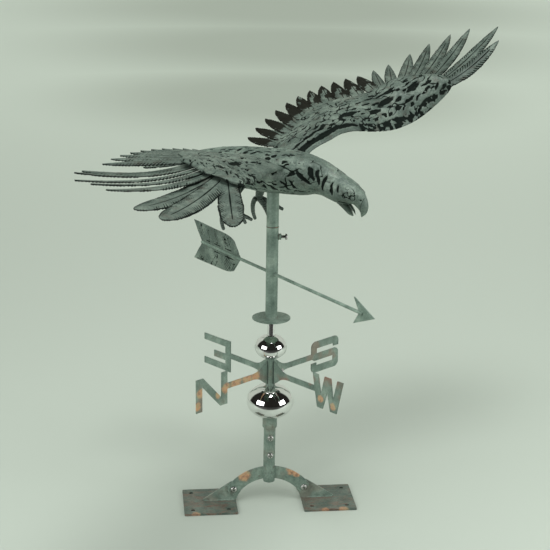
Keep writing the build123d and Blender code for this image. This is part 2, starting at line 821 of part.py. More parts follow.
def talons(side):
    """Three front toes and one hind toe, each ending in a claw."""
    x, z = ANKLE
    toes = []
    for start, knee, tip in (
        ((3.4, -3.4), (14, -6.5, -10), (26, -10, -25)),
        ((3.5, 3.4), (25, 2.5, -8), (46, 1.5, -14)),
        ((-3.4, 3.4), (6, 9.5, -13), (13, 11, -28)),
        ((-3.4, -3.4), (-12, 0.5, -20), (-7, 1.5, -38)),
    ):
        toes.append(tapered((
            (x + start[0], side * (LEG_Y + start[1]), z - 3),
            (x + knee[0], side * (LEG_Y + knee[1]), z + knee[2]),
            (x + tip[0], side * (LEG_Y + tip[1]), z + tip[2]),
        ), 3.1, 1.5))
    return turned(joined(toes), EAGLE_HEADING)


# ---------------------------------------------------------------- all pieces

def build():
    low_screw, top_screw = SOCKET_SCREW_Z
    socket_head = SOCKET_R + NUT_HEIGHT + SOCKET_SCREW_GAP
    hub_head = HUB_R + NUT_HEIGHT + SIDE_SCREW_GAP
    post_head = TUBE_R + NUT_HEIGHT + SIDE_SCREW_GAP
    return {
        "arch_plate": arch_plate(),
        "left_foot_plate": foot_plate(-1),
        "left_foot_lug": foot_lug(-1),
        "right_foot_plate": foot_plate(1),
        "right_foot_lug": foot_lug(1),
        "pivot_bolts": joined([pivot_bolt(-1), pivot_bolt(1)]),
        "pivot_washers": joined([pivot_washer(-1), pivot_washer(1)]),
        "pivot_nuts": joined([pivot_nut(-1), pivot_nut(1)]),
        "socket_tube": socket_tube(),
        "socket_nuts": joined([screw_nut(SOCKET_R, z, -90) for z in SOCKET_SCREW_Z]),
        "socket_screw_upper": set_screw(MAST_R + NIP, socket_head, top_screw, -90),
        "socket_screw_lower": set_screw(MAST_R + NIP, socket_head, low_screw, -90),
        "ball_collar": ball_collar(),
        "mast_rod": mast_rod(),
        "pivot_ball": pivot_ball(),
        "large_ball": hollow_ball(BIG_BALL_R, BIG_BALL_HALF_HEIGHT, BIG_BALL_Z),
        "small_ball": hollow_ball(SMALL_BALL_R, SMALL_BALL_HALF_HEIGHT, SMALL_BALL_Z),
        "hub_tube": hub_tube(),
        "hub_nut": screw_nut(HUB_R, HUB_Z, SIDE_SCREW_HEADING),
        "hub_set_screw": set_screw(MAST_R + NIP, hub_head, HUB_Z, SIDE_SCREW_HEADING),
        "north_arm": compass_arm(letter_north(), COMPASS_SOUTH_HEADING + 180),
        "east_arm": compass_arm(letter_east(), COMPASS_SOUTH_HEADING + 90),
        "south_arm": compass_arm(letter_south(), COMPASS_SOUTH_HEADING),
        "west_arm": compass_arm(letter_west(), COMPASS_SOUTH_HEADING - 90),
        "vane_tube": vane_tube(),
        "drip_disc": drip_disc(),
        "lower_bush": lower_bush(),
        "pivot_cap": pivot_cap(),
        "arrow_shaft": arrow_shaft(),
        "arrow_head": arrow_head(),
        "arrow_fletching": arrow_fletching(),
        "post_nut": screw_nut(TUBE_R, POST_SCREW_Z, SIDE_SCREW_HEADING),
        "post_set_screw": set_screw(TUBE_BORE_R - RUN + NIP, post_head, POST_SCREW_Z, SIDE_SCREW_HEADING),
        "joint_ring": joint_ring(),
        "post_tube": post_tube(),
        "post_spigot": post_spigot(),
        "post_saddle": post_saddle(),
        "body_left_half": body_half(1),
        "body_right_half": body_half(-1),
        "head_shell": head_shell(),
        "upper_beak": upper_beak(),
        "lower_beak": lower_beak(),
        "tongue": tongue(),
        "eyes": eyes(),
        "left_wing_shell": wing_shell(1, LEFT_STATIONS),
        "right_wing_shell": wing_shell(-1, RIGHT_STATIONS),
        "left_primaries": primaries(1, LEFT_STATIONS, LEFT_PRIMARY_TIPS),
        "right_primaries": primaries(-1, RIGHT_STATIONS, RIGHT_PRIMARY_TIPS),
        "left_secondaries": secondaries(
            1, LEFT_STATIONS, LEFT_SECONDARY_X, LEFT_SECONDARY_RISE, LEFT_SECONDARY_ARCH),
        "right_secondaries": secondaries(
            -1, RIGHT_STATIONS, RIGHT_SECONDARY_X, RIGHT_SECONDARY_RISE, RIGHT_SECONDARY_ARCH),
        "tail_feathers": tail_feathers(),
        "left_leg": leg(1),
        "right_leg": leg(-1),
        "left_talons": talons(1),
        "right_talons": talons(-1),
    }


os.makedirs("parts", exist_ok=True)
for name, piece in build().items():
    export_step(piece, f"parts/{name}.step")
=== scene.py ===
import math

import bmesh
import bpy
import numpy as np
from mathutils import Matrix, Vector
from mathutils.bvhtree import BVHTree


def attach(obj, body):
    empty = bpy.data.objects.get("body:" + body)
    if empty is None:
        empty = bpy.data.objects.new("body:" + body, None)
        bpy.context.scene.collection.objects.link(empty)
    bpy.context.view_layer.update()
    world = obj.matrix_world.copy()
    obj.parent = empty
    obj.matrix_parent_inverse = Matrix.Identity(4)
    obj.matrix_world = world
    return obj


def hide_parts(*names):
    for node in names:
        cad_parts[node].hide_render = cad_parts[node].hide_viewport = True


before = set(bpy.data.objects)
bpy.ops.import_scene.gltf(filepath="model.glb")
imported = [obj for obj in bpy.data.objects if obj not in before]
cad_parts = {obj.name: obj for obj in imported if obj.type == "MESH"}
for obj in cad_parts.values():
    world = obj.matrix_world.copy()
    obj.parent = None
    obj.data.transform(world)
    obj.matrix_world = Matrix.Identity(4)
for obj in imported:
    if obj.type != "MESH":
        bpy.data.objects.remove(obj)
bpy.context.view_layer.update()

# Shapes are worked out in millimetres, in the row frame or in a frame turned about the mast
# axis to the heading of one part, and change to metres when a mesh is made.
MM = 0.001

# Headings, degrees anticlockwise from +X, as in the CAD
EAGLE_HEADING = -41.5
ARROW_HEADING = -62.6
SIDE_SCREW_HEADING = -6.5
COMPASS_SOUTH_HEADING = 38.2

# The pitched head of the bird, in the bird's frame
NECK_ORIGIN = np.array([132.5, 0.0, 541.0])
NECK_PITCH = math.radians(21.5)
EYE_PLACE = (18.6, 3.5)


# The body's skin
GIRTH_RADIUS = 31.0         # turns an angle round the body into a distance
NECK_BLEND_PASSES = 260     # smoothing of the step where the neck meets the chest


# ---------------------------------------------------------------- numbers and noise

def smoothstep(low, high, value):
    share = np.clip((value - low) / (high - low), 0.0, 1.0)
    return share * share * (3.0 - 2.0 * share)


def curve(knots, values, at):
    """Smooth curve through values at the knots, without overshoot at its ends."""
    knots = np.asarray(knots, float)
    values = np.asarray(values, float)
    slopes = np.gradient(values, knots, axis=0)
    at = np.clip(np.asarray(at, float), knots[0], knots[-1])
    i = np.clip(np.searchsorted(knots, at, side="right") - 1, 0, len(knots) - 2)
    width = knots[i + 1] - knots[i]
    t = (at - knots[i]) / width
    if values.ndim > 1:
        t, width = t[..., None], width[..., None]
    return (
        values[i] * (2 * t ** 3 - 3 * t ** 2 + 1)
        + slopes[i] * width * (t ** 3 - 2 * t ** 2 + t)
        + values[i + 1] * (3 * t ** 2 - 2 * t ** 3)
        + slopes[i + 1] * width * (t ** 3 - t ** 2)
    )


def hashed(cells, seed):
    """A fixed number from 0 to 1 for each whole-number cell."""
    mix = cells[..., 0] * 374761393 + cells[..., 1] * 668265263 + cells[..., 2] * 982451653
    mix = (mix + seed * 1274126177) & 0xFFFFFFFF
    mix = ((mix ^ (mix >> 13)) * 1274126177) & 0xFFFFFFFF
    return ((mix ^ (mix >> 16)) & 0xFFFFFF) / float(0xFFFFFF)


def noise(points, size, seed=0):
    """Smooth noise from 0 to 1 with features of the given size."""
    scaled = points / size
    cell = np.floor(scaled).astype(np.int64)
    part = scaled - cell
    part = part * part * (3.0 - 2.0 * part)
    total = np.zeros(points.shape[:-1])
    for corner in np.ndindex(2, 2, 2):
        weight = np.ones(points.shape[:-1])
        for axis, step in enumerate(corner):
            weight *= part[..., axis] if step else 1.0 - part[..., axis]
        total += weight * hashed(cell + np.array(corner), seed)
    return total


def scribble(points, size, width, seed):
    """Thin wandering lines, 0 to 1, that follow the middle level of the noise."""
    return 1.0 - smoothstep(0.0, width, np.abs(noise(points, size, seed) - 0.5))


def hollows(u, v, marks):
    """Lens-shaped hollows, 0 to 1. Each mark is u, v, length, width and turn."""
    field = np.zeros(u.shape)
    for mark_u, mark_v, length, width, turn in marks:
        c, s = math.cos(turn), math.sin(turn)
        along = ((u - mark_u) * c + (v - mark_v) * s) / (length / 2)
        across = ((v - mark_v) * c - (u - mark_u) * s) / (width / 2)
        reach = np.sqrt(np.abs(along) ** 1.7 + across ** 2)
        field = np.maximum(field, 1.0 - smoothstep(0.55, 1.05, reach))
    return field


def scattered(seed, u_range, v_range, u_pitch, v_pitch, length, width, turn, keep=1.0):
    """Marks in staggered rows, each moved, sized and turned a little."""
    rng = np.random.default_rng(seed)
    marks = []
    for row, v in enumerate(np.arange(v_range[0], v_range[1] + 0.01, v_pitch)):
        start = u_range[0] + (row % 2) * u_pitch / 2
        for u in np.arange(start, u_range[1] + 0.01, u_pitch):
            place = (u + rng.uniform(-0.3, 0.3) * u_pitch, v + rng.uniform(-0.3, 0.3) * v_pitch)
            size = (rng.uniform(*length), rng.uniform(*width))
            lean = turn + rng.uniform(-0.22, 0.22)
            if rng.uniform() < keep:
                marks.append((*place, *size, lean))
    return marks


# ---------------------------------------------------------------- frames and meshes

def turn_matrix(heading):
    a = math.radians(heading)
    return np.array([[math.cos(a), -math.sin(a), 0], [math.sin(a), math.cos(a), 0], [0, 0, 1.0]])


def turned(points, heading):
    """Points of a part's own frame, in the row frame."""
    return np.asarray(points) @ turn_matrix(heading).T


def node_mesh(names, heading):
    """Vertices in mm in the turned frame, faces and edges of some CAD nodes, joined up."""
    bm = bmesh.new()
    for name in names:
        bm.from_mesh(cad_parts[name].data)
    bmesh.ops.remove_doubles(bm, verts=bm.verts, dist=1e-6)
    bm.verts.index_update()
    points = np.array([v.co for v in bm.verts]) / MM @ turn_matrix(heading)
    faces = [[v.index for v in f.verts] for f in bm.faces]
    edges = np.array([[v.index for v in e.verts] for e in bm.edges])
    bm.free()
    return points, faces, edges


def loose_parts(points, edges):
    """The points of each separate solid."""
    parent = np.arange(len(points))
    while True:
        low = np.minimum(parent[edges[:, 0]], parent[edges[:, 1]])
        before = parent.copy()
        np.minimum.at(parent, edges[:, 0], low)
        np.minimum.at(parent, edges[:, 1], low)
        parent = parent[parent]
        if (parent == before).all():
            break
    return [points[parent == root] for root in np.unique(parent)]


def make_piece(name, points, faces, material, body, replaced=(), dark=None, smooth=True):
    """A finished piece from points in the row frame, riding on its body."""
    mesh = bpy.data.meshes.new(name)
    mesh.from_pydata((np.asarray(points) * MM).tolist(), [], [list(map(int, f)) for f in faces])
    if dark is not None:
        layer = mesh.attributes.new("dark", "FLOAT", "POINT")
        layer.data.foreach_set("value", np.asarray(dark, np.float32))
    bm = bmesh.new()
    bm.from_mesh(mesh)
    bmesh.ops.recalc_face_normals(bm, faces=bm.faces)
    bm.to_mesh(mesh)
    bm.free()
    mesh.polygons.foreach_set("use_smooth", [smooth] * len(mesh.polygons))
    mesh.materials.append(material)
    mesh.update()
    obj = bpy.data.objects.new(name, mesh)
    bpy.context.scene.collection.objects.link(obj)
    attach(obj, body)
    if replaced:
        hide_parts(*replaced)
    return obj


def grid_faces(rows, columns, start=0, closed=False):
    """Quads of a grid; closed joins its last column to its first."""
    faces = []
    for r in range(rows - 1):
        for c in range(columns if closed else columns - 1):
            d = (c + 1) % columns
            a = start + r * columns
            b = a + columns
            faces.append((a + c, a + d, b + d, b + c))
    return faces


def closed_sheet(top, bottom):
    """Points and faces of a closed sheet between two grids of the same size."""
    rows, columns = top.shape[:2]
    count = rows * columns
    points = np.concatenate([top.reshape(-1, 3), bottom.reshape(-1, 3)])
    faces = grid_faces(rows, columns)
    faces += [f[::-1] for f in grid_faces(rows, columns, count)]
    index = np.arange(count).reshape(rows, columns)
    rim = list(index[0, :]) + list(index[1:, -1]) + list(index[-1, -2::-1]) + list(index[-2:0:-1, 0])
    for a, b in zip(rim, rim[1:] + rim[:1]):
        faces.append((b, a, a + count, b + count))
    return points, faces


def capped_rings(rings):
    """Points and faces of a closed tube of rings, ending in a point at each end."""
    rows, columns = rings.shape[:2]
    first = rings[0].mean(0)
    last = rings[-1].mean(0)
    points = np.concatenate([rings.reshape(-1, 3), [first, last]])
    faces = grid_faces(rows, columns, closed=True)
    ends = ((rows * columns, 0, 1), (rows * columns + 1, (rows - 1) * columns, -1))
    for tip, base, order in ends:
        for c in range(columns):
            face = (tip, base + (c + 1) % columns, base + c)
            faces.append(face[::order])
    return points, faces


# ---------------------------------------------------------------- materials

class Graph:
    """A short way to write a node material."""

    def __init__(self, name):
        self.material = bpy.data.materials.new(name)
        self.material.use_nodes = True
        self.tree = self.material.node_tree
        self.tree.nodes.clear()
        self.place = self.add("ShaderNodeTexCoord").outputs["Object"]

    def add(self, kind, inputs=None, **settings):
        node = self.tree.nodes.new(kind)
        for key, value in settings.items():
            setattr(node, key, value)
        for key, value in (inputs or {}).items():
            if isinstance(value, bpy.types.NodeSocket):
                self.tree.links.new(value, node.inputs[key])
            else:
                node.inputs[key].default_value = value
        return node

    def math(self, operation, a, b=0.0, c=0.0):
        return self.add("ShaderNodeMath", {0: a, 1: b, 2: c}, operation=operation).outputs[0]

    def step(self, value, low, high, start=0.0, stop=1.0):
        inputs = {"Value": value, "From Min": low, "From Max": high, "To Min": start, "To Max": stop}
        return self.add("ShaderNodeMapRange", inputs, interpolation_type="SMOOTHSTEP").outputs[0]

    def noise(self, size_mm, detail=4.0, rough=0.55, stretch=(1, 1, 1), warp=0.0):
        place = self.place
        if stretch != (1, 1, 1):
            place = self.add("ShaderNodeMapping", {"Vector": place, "Scale": stretch}).outputs[0]
        inputs = {"Vector": place, "Scale": 1000.0 / size_mm, "Detail": detail,
                  "Roughness": rough, "Distortion": warp}
        return self.add("ShaderNodeTexNoise", inputs).outputs[0]

    def mix(self, share, a, b):
        node = self.add("ShaderNodeMix", data_type="RGBA")
        for socket, value in ((0, share), (6, a), (7, b)):
            if isinstance(value, bpy.types.NodeSocket):
                self.tree.links.new(value, node.inputs[socket])
            else:
                node.inputs[socket].default_value = value
        return node.outputs[2]

    def ramp(self, value, stops):
        node = self.add("ShaderNodeValToRGB", {0: value})
        ends = node.color_ramp.elements
        for _ in range(len(stops) - 2):
            ends.new(0.5)
        for end, (position, colour) in zip(ends, stops):
            end.position = position
            end.color = (*colour, 1.0)
        return node.outputs[0]

    def edge_wear(self, radius_mm, low, high):
        """1 along sharp edges, where the rounded normal leaves the true one."""
        rounded = self.add("ShaderNodeBevel", {"Radius": radius_mm * MM}, samples=4).outputs[0]
        true = self.add("ShaderNodeNewGeometry").outputs["Normal"]
        agree = self.add("ShaderNodeVectorMath", {0: rounded, 1: true}, operation="DOT_PRODUCT")
        return self.step(self.math("SUBTRACT", 1.0, agree.outputs["Value"]), low, high)

    def near(self, spots):
        """1 at the middle of any spot, 0 beyond its radius; spots are (x, y, z, radius) in mm."""
        total = None
        for x, y, z, radius in spots:
            inputs = {0: self.place, 1: (x * MM, y * MM, z * MM)}
            reach = self.add("ShaderNodeVectorMath", inputs, operation="DISTANCE").outputs["Value"]
            share = self.step(reach, radius * MM, 0.25 * radius * MM)
            total = share if total is None else self.math("MAXIMUM", total, share)
        return total

    def finish(self, colour, rough, metal, height=None, strength=0.4, depth_mm=0.3, round_mm=0.0,
               specular=0.5):
        inputs = {"Base Color": colour, "Roughness": rough, "Metallic": metal, "Specular IOR Level": specular}
        shader = self.add("ShaderNodeBsdfPrincipled", inputs)
        normal = None
        if round_mm:
            normal = self.add("ShaderNodeBevel", {"Radius": round_mm * MM}, samples=4).outputs[0]
        if height is not None:
            bump_inputs = {"Height": height, "Strength": strength, "Distance": depth_mm * MM}
            if normal is not None:
                bump_inputs["Normal"] = normal
            normal = self.add("ShaderNodeBump", bump_inputs).outputs[0]
        if normal is not None:
            self.tree.links.new(normal, shader.inputs["Normal"])
        out = self.add("ShaderNodeOutputMaterial")
        self.tree.links.new(shader.outputs[0], out.inputs["Surface"])
        return self.material


DEEP_GREEN = (0.060, 0.095, 0.073)
MID_GREEN = (0.125, 0.178, 0.143)
PALE_GREEN = (0.215, 0.280, 0.226)
SOOT = (0.004, 0.0065, 0.0052, 1.0)
BROWN = (0.050, 0.034, 0.022, 1.0)
COPPER = (0.560, 0.215, 0.070, 1.0)
ROSE = (0.240, 0.135, 0.095, 1.0)
SOOTY_BROWN = (0.010, 0.0095, 0.0065, 1.0)


def tones(deep, mid, pale):
    """The three greens, each made lighter or darker."""
    return [tuple(share * c for c in tone)
            for share, tone in ((deep, DEEP_GREEN), (mid, MID_GREEN), (pale, PALE_GREEN))]


def patina_sheet(name, stain=0.35, worn=(), copper=0.0, rosy=0.0, tint=1.0, streaks=0.0):
    """Satin verdigris paint on steel, stained dark in places and rubbed to copper in others."""
    g = Graph(name)
    patches = g.noise(26, 5, 0.6)
    speckle = g.noise(3.2, 5, 0.65)
    grain = g.noise(0.8, 2, 0.5)
    deep, mid, pale = tones(tint, tint, tint)
    blend = g.math("ADD", g.math("MULTIPLY", patches, 0.7), g.math("MULTIPLY", speckle, 0.3))
    colour = g.ramp(blend, [(0.33, deep), (0.50, mid), (0.66, pale)])
    if rosy:
        blush = g.step(g.noise(38, 3, 0.5), 0.52, 0.66)
        colour = g.mix(g.math("MULTIPLY", blush, rosy), colour, ROSE)
    dirt = g.step(g.math("ADD", g.noise(11, 6, 0.7), g.math("MULTIPLY", patches, 0.35)), 0.74, 0.86)
    colour = g.mix(g.math("MULTIPLY", dirt, stain), colour, BROWN)
    if streaks:
        torn = g.noise(16, 7, 0.75, stretch=(0.55, 2.2, 1.0), warp=0.8)
        colour = g.mix(g.math("MULTIPLY", g.step(torn, 0.50, 0.58), 0.75 * streaks), colour, ROSE)
        colour = g.mix(g.math("MULTIPLY", g.step(torn, 0.57, 0.63), streaks), colour, BROWN)
    pepper = g.step(speckle, 0.64, 0.70)
    colour = g.mix(g.math("MULTIPLY", pepper, 0.5), colour, SOOT)
    rubbed = g.edge_wear(0.7, 0.012, 0.12)
    rubbed = g.math("MULTIPLY", rubbed, g.step(speckle, 0.38, 0.56))
    colour = g.mix(g.math("MULTIPLY", rubbed, 0.55), colour, SOOT)
    metal = 0.15
    if worn:
        tear = g.math("MULTIPLY", g.math("SUBTRACT", g.noise(8, 8, 0.75, warp=0.9), 0.5), 1.5)
        ragged = g.math("MULTIPLY", g.step(g.math("ADD", g.near(worn), tear), 0.42, 1.0), copper)
        shine = g.ramp(g.noise(7, 4, 0.6), [(0.36, (0.36, 0.17, 0.09)), (0.5, (0.72, 0.38, 0.20)),
                                            (0.64, (0.56, 0.42, 0.21))])
        colour = g.mix(ragged, colour, shine)
        metal = g.math("MULTIPLY", ragged, 0.4)
    rough = g.step(speckle, 0.2, 0.8, 0.58, 0.36)
    height = g.math("ADD", g.math("MULTIPLY", speckle, 0.7), g.math("MULTIPLY", grain, 0.3))
    return g.finish(colour, rough, metal, height, 0.35, 0.18, round_mm=0.45)


def patina_bird(name, brown=0.35, tint=1.0, recess_and_shade_colour=SOOT):
    """Verdigris copper sheet whose recesses, named by the dark attribute, stay nearly black; the same attribute also
    carries painted shade on the undersides of the wing sheets and feathers.
    """
    g = Graph(name)
    dark = g.add("ShaderNodeAttribute", attribute_name="dark").outputs["Fac"]
    patches = g.noise(30, 4, 0.6)
    speckle = g.noise(2.6, 5, 0.7)
    grain = g.noise(0.7, 2, 0.5)
    blend = g.math("ADD", g.math("MULTIPLY", patches, 0.6), g.math("MULTIPLY", speckle, 0.4))
    deep, mid, pale = tones(0.66 * tint, 0.73 * tint, 0.88 * tint)
    colour = g.ramp(blend, [(0.36, deep), (0.50, mid), (0.63, pale)])
    rust = g.step(g.noise(17, 5, 0.65), 0.52, 0.68)
    colour = g.mix(g.math("MULTIPLY", rust, brown), colour, BROWN)
    edge = g.math("ADD", dark, g.math("MULTIPLY", g.math("SUBTRACT", speckle, 0.5), 0.6))
    # Where the dark attribute is high the colour goes to the near-black recess colour: dark patina in the hollows, and
    # painted shade on the undersides of sheets and feathers.
    soot_and_painted_shade = g.step(edge, 0.28, 0.56)
    colour = g.mix(g.math("MULTIPLY", soot_and_painted_shade, 0.96), colour, recess_and_shade_colour)
    rough = g.math("MAXIMUM", g.step(speckle, 0.2, 0.8, 0.64, 0.42), g.math("MULTIPLY", soot_and_painted_shade, 0.85))
    height = g.math("ADD", g.math("MULTIPLY", speckle, 0.65), g.math("MULTIPLY", grain, 0.35))
    specular = g.math("MULTIPLY_ADD", soot_and_painted_shade, -0.42, 0.5)
    return g.finish(colour, rough, 0.08, height, 0.5, 0.25, specular=specular)


def polished_steel(name, rough=0.035, smudge=0.05, brushed=0.0):
    """Mirror chrome with faint smudges and fine handling marks."""
    g = Graph(name)
    film = g.noise(14, 4, 0.6)
    lines = g.noise(1.1, 2, 0.5, stretch=(1, 1, 14))
    colour = g.ramp(film, [(0.3, (0.80, 0.80, 0.79)), (0.7, (0.90, 0.90, 0.89))])
    roughness = g.step(film, 0.42, 0.75, rough, rough + smudge)
    return g.finish(colour, roughness, 1.0, lines, 0.04 + brushed, 0.02)


def zinc_plate(name):
    """Bright zinc on small hardware, dulled and greened in its corners."""
    g = Graph(name)
    patches = g.noise(2.4, 4, 0.6)
    hollow = g.add("ShaderNodeAmbientOcclusion", {"Distance": 2.2 * MM}, samples=4).outputs["AO"]
    colour = g.ramp(patches, [(0.35, (0.42, 0.42, 0.40)), (0.65, (0.66, 0.66, 0.63))])
    grime = g.step(g.math("ADD", hollow, g.math("MULTIPLY", patches, 0.5)), 1.05, 0.75)
    colour = g.mix(grime, colour, (*DEEP_GREEN, 1.0))
    metal = g.step(grime, 0.8, 0.2)
    return g.finish(colour, g.step(patches, 0.3, 0.7, 0.20, 0.36), metal, patches, 0.2, 0.08, round_mm=0.2)


def bare_copper(name):
    """Weathered copper at the joint of the two tubes."""
    g = Graph(name)
    patches = g.noise(6, 5, 0.65)
    colour = g.ramp(patches, [(0.38, (0.05, 0.022, 0.014)), (0.54, (0.16, 0.058, 0.028)),
                              (0.70, (0.34, 0.14, 0.06))])
    return g.finish(colour, g.step(patches, 0.3, 0.7, 0.45, 0.3), 0.7, patches, 0.3, 0.1)


def bush_brass(name):
    g = Graph(name)
    patches = g.noise(5, 4, 0.6)
    colour = g.ramp(patches, [(0.35, (0.35, 0.22, 0.07)), (0.65, (0.55, 0.38, 0.14))])
    return g.finish(colour, g.step(patches, 0.3, 0.7, 0.42, 0.28), 1.0, patches, 0.1, 0.05)


# ---------------------------------------------------------------- the bird: body and head

def head_place(points):
    """Distance along the pitched head and height above its middle line, in mm."""
    reach = points - NECK_ORIGIN
    c, s = math.cos(NECK_PITCH), math.sin(NECK_PITCH)
    return reach[..., 0] * c - reach[..., 2] * s, reach[..., 0] * s + reach[..., 2] * c


def from_head(along, up, side):
    """Bird-frame point of a place in the pitched head's frame."""
    c, s = math.cos(NECK_PITCH), math.sin(NECK_PITCH)
    along, up, side = np.broadcast_arrays(along, up, side)
    offset = np.stack([along * c + up * s, side, up * c - along * s], -1)
    return NECK_ORIGIN + offset


def body_axis(count):
    """Middle line of the body from the tail end to the face: distances along it, its points, and the direction along
    it.
    """
    low, high = (box_mm(("body_left_half", "body_right_half")))
    knots = [low[0] + 1.5, -112, -62, 0, 40, 68]
    heights = [558, 556, 554.5, 556, 558, 558]
    line = [(x, z) for x, z in zip(knots, heights)]
    for along in (-44, -22, 0, 14, 26):
        x, _, z = from_head(along, 1.0, 0.0)
        line.append((x, z))
    line = np.array(line)
    reach = np.concatenate([[0], np.cumsum(np.hypot(*np.diff(line, axis=0).T))])
    at = np.linspace(0, reach[-1], count)
    places = curve(reach, line, at)
    ahead = np.gradient(places, at, axis=0)
    ahead /= np.linalg.norm(ahead, axis=1)[:, None]
    return at, places, ahead


def box_mm(nodes, heading=EAGLE_HEADING):
    """Lowest and highest corner of some CAD nodes in the turned frame."""
    points = node_mesh(nodes, heading)[0]
    return points.min(0), points.max(0)


def bird_tree(nodes):
    points, faces, _ = node_mesh(nodes, EAGLE_HEADING)
    return BVHTree.FromPolygons(points.tolist(), faces)


def on_both_flanks(strokes):
    """The strokes of the right flank and their mirror images on the left."""
    return [stroke for u, v, length, width, turn in strokes
            for stroke in ((u, v, length, width, turn), (u, -v, length, width, -turn))]


def body_marks():
    """Hollows of the back, the flanks and the belly: distance along, around, length, width, turn."""
    back = scattered(11, (18, 206), (-14, 14), 19, 8.5, (9, 22), (2.6, 5.5), 0.06, 0.75)
    flank = scattered(12, (24, 208), (-44, -20), 15, 8.0, (8, 18), (3.0, 6.5), 0.10, 0.75)
    belly = scattered(14, (20, 196), (-90, -52), 14, 8.0, (10, 22), (2.6, 6.0), -0.45, 0.85)
    return back + on_both_flanks(flank + belly)


# Pressed strokes of the chest, the neck and the throat: distance along, around, length, width, turn
BODY_STROKES = on_both_flanks((
    (196, -56, 24, 2.8, 1.30),
    (206, -44, 18, 3.0, 0.35),
    (207, -58, 22, 5.0, -1.00),
    (224, -47, 44, 8.0, -0.70),
    (234, -38, 32, 9.5, -1.20),
    (244, -41, 38, 7.0, -1.28),
    (255, -45, 44, 6.0, -1.42),
    (268, -47, 36, 5.5, -1.30),
    (277, -40, 18, 4.5, -1.10),
    (214, -70, 34, 2.2, -0.30),
    (230, -76, 36, 2.2, -0.12),
    (238, -67, 24, 2.0, -0.05),
))

# The throat is filled out where the neck meets the chest: distance along, reach, depth in mm
THROAT_PLACE = 243.0
THROAT_REACH = 15.0
THROAT_FILL = 3.3


def body_rings(rows, columns):
    """Rings on the CAD body, neck and head, the ways they face, and distances along and around."""
    tree = bird_tree(("body_left_half", "body_right_half", "head_shell"))
    at, places, ahead = body_axis(rows)
    angles = np.linspace(0, 2 * math.pi, columns, endpoint=False)
    rings = np.zeros((rows, columns, 3))
    outward = np.zeros((rows, columns, 3))
    for r in range(rows):
        middle = np.array([places[r, 0], 0.0, places[r, 1]])
        up = np.array([-ahead[r, 1], 0.0, ahead[r, 0]])
        for c, angle in enumerate(angles):
            way = up * math.cos(angle) + np.array([0.0, math.sin(angle), 0.0])
            hit = tree.ray_cast(Vector(middle + way * 90.0), Vector(-way), 89.0)[0]
            rings[r, c] = hit if hit is not None else np.nan
            outward[r, c] = way
    for c in range(columns):
        missed = np.isnan(rings[:, c, 0])
        for k in range(3):
            rings[missed, c, k] = np.interp(at[missed], at[~missed], rings[~missed, c, k])
    blended = rings.copy()
    for _ in range(NECK_BLEND_PASSES):
        blended[1:-1] = (blended[:-2] + 2 * blended[1:-1] + blended[2:]) / 4
    share = smoothstep(48, 75, rings[..., :1]) * smoothstep(142, 122, rings[..., :1])
    rings += (blended - rings) * share
    u = np.repeat(at[:, None], columns, 1)
    wrapped = (angles + math.pi) % (2 * math.pi) - math.pi
    v = np.repeat(wrapped[None, :] * GIRTH_RADIUS, rows, 0)
    throat = np.exp(-((u - THROAT_PLACE) / THROAT_REACH) ** 2) * smoothstep(52, 82, np.abs(v))
    rings[..., 2] -= THROAT_FILL * throat
    return rings, outward, ahead, u, v


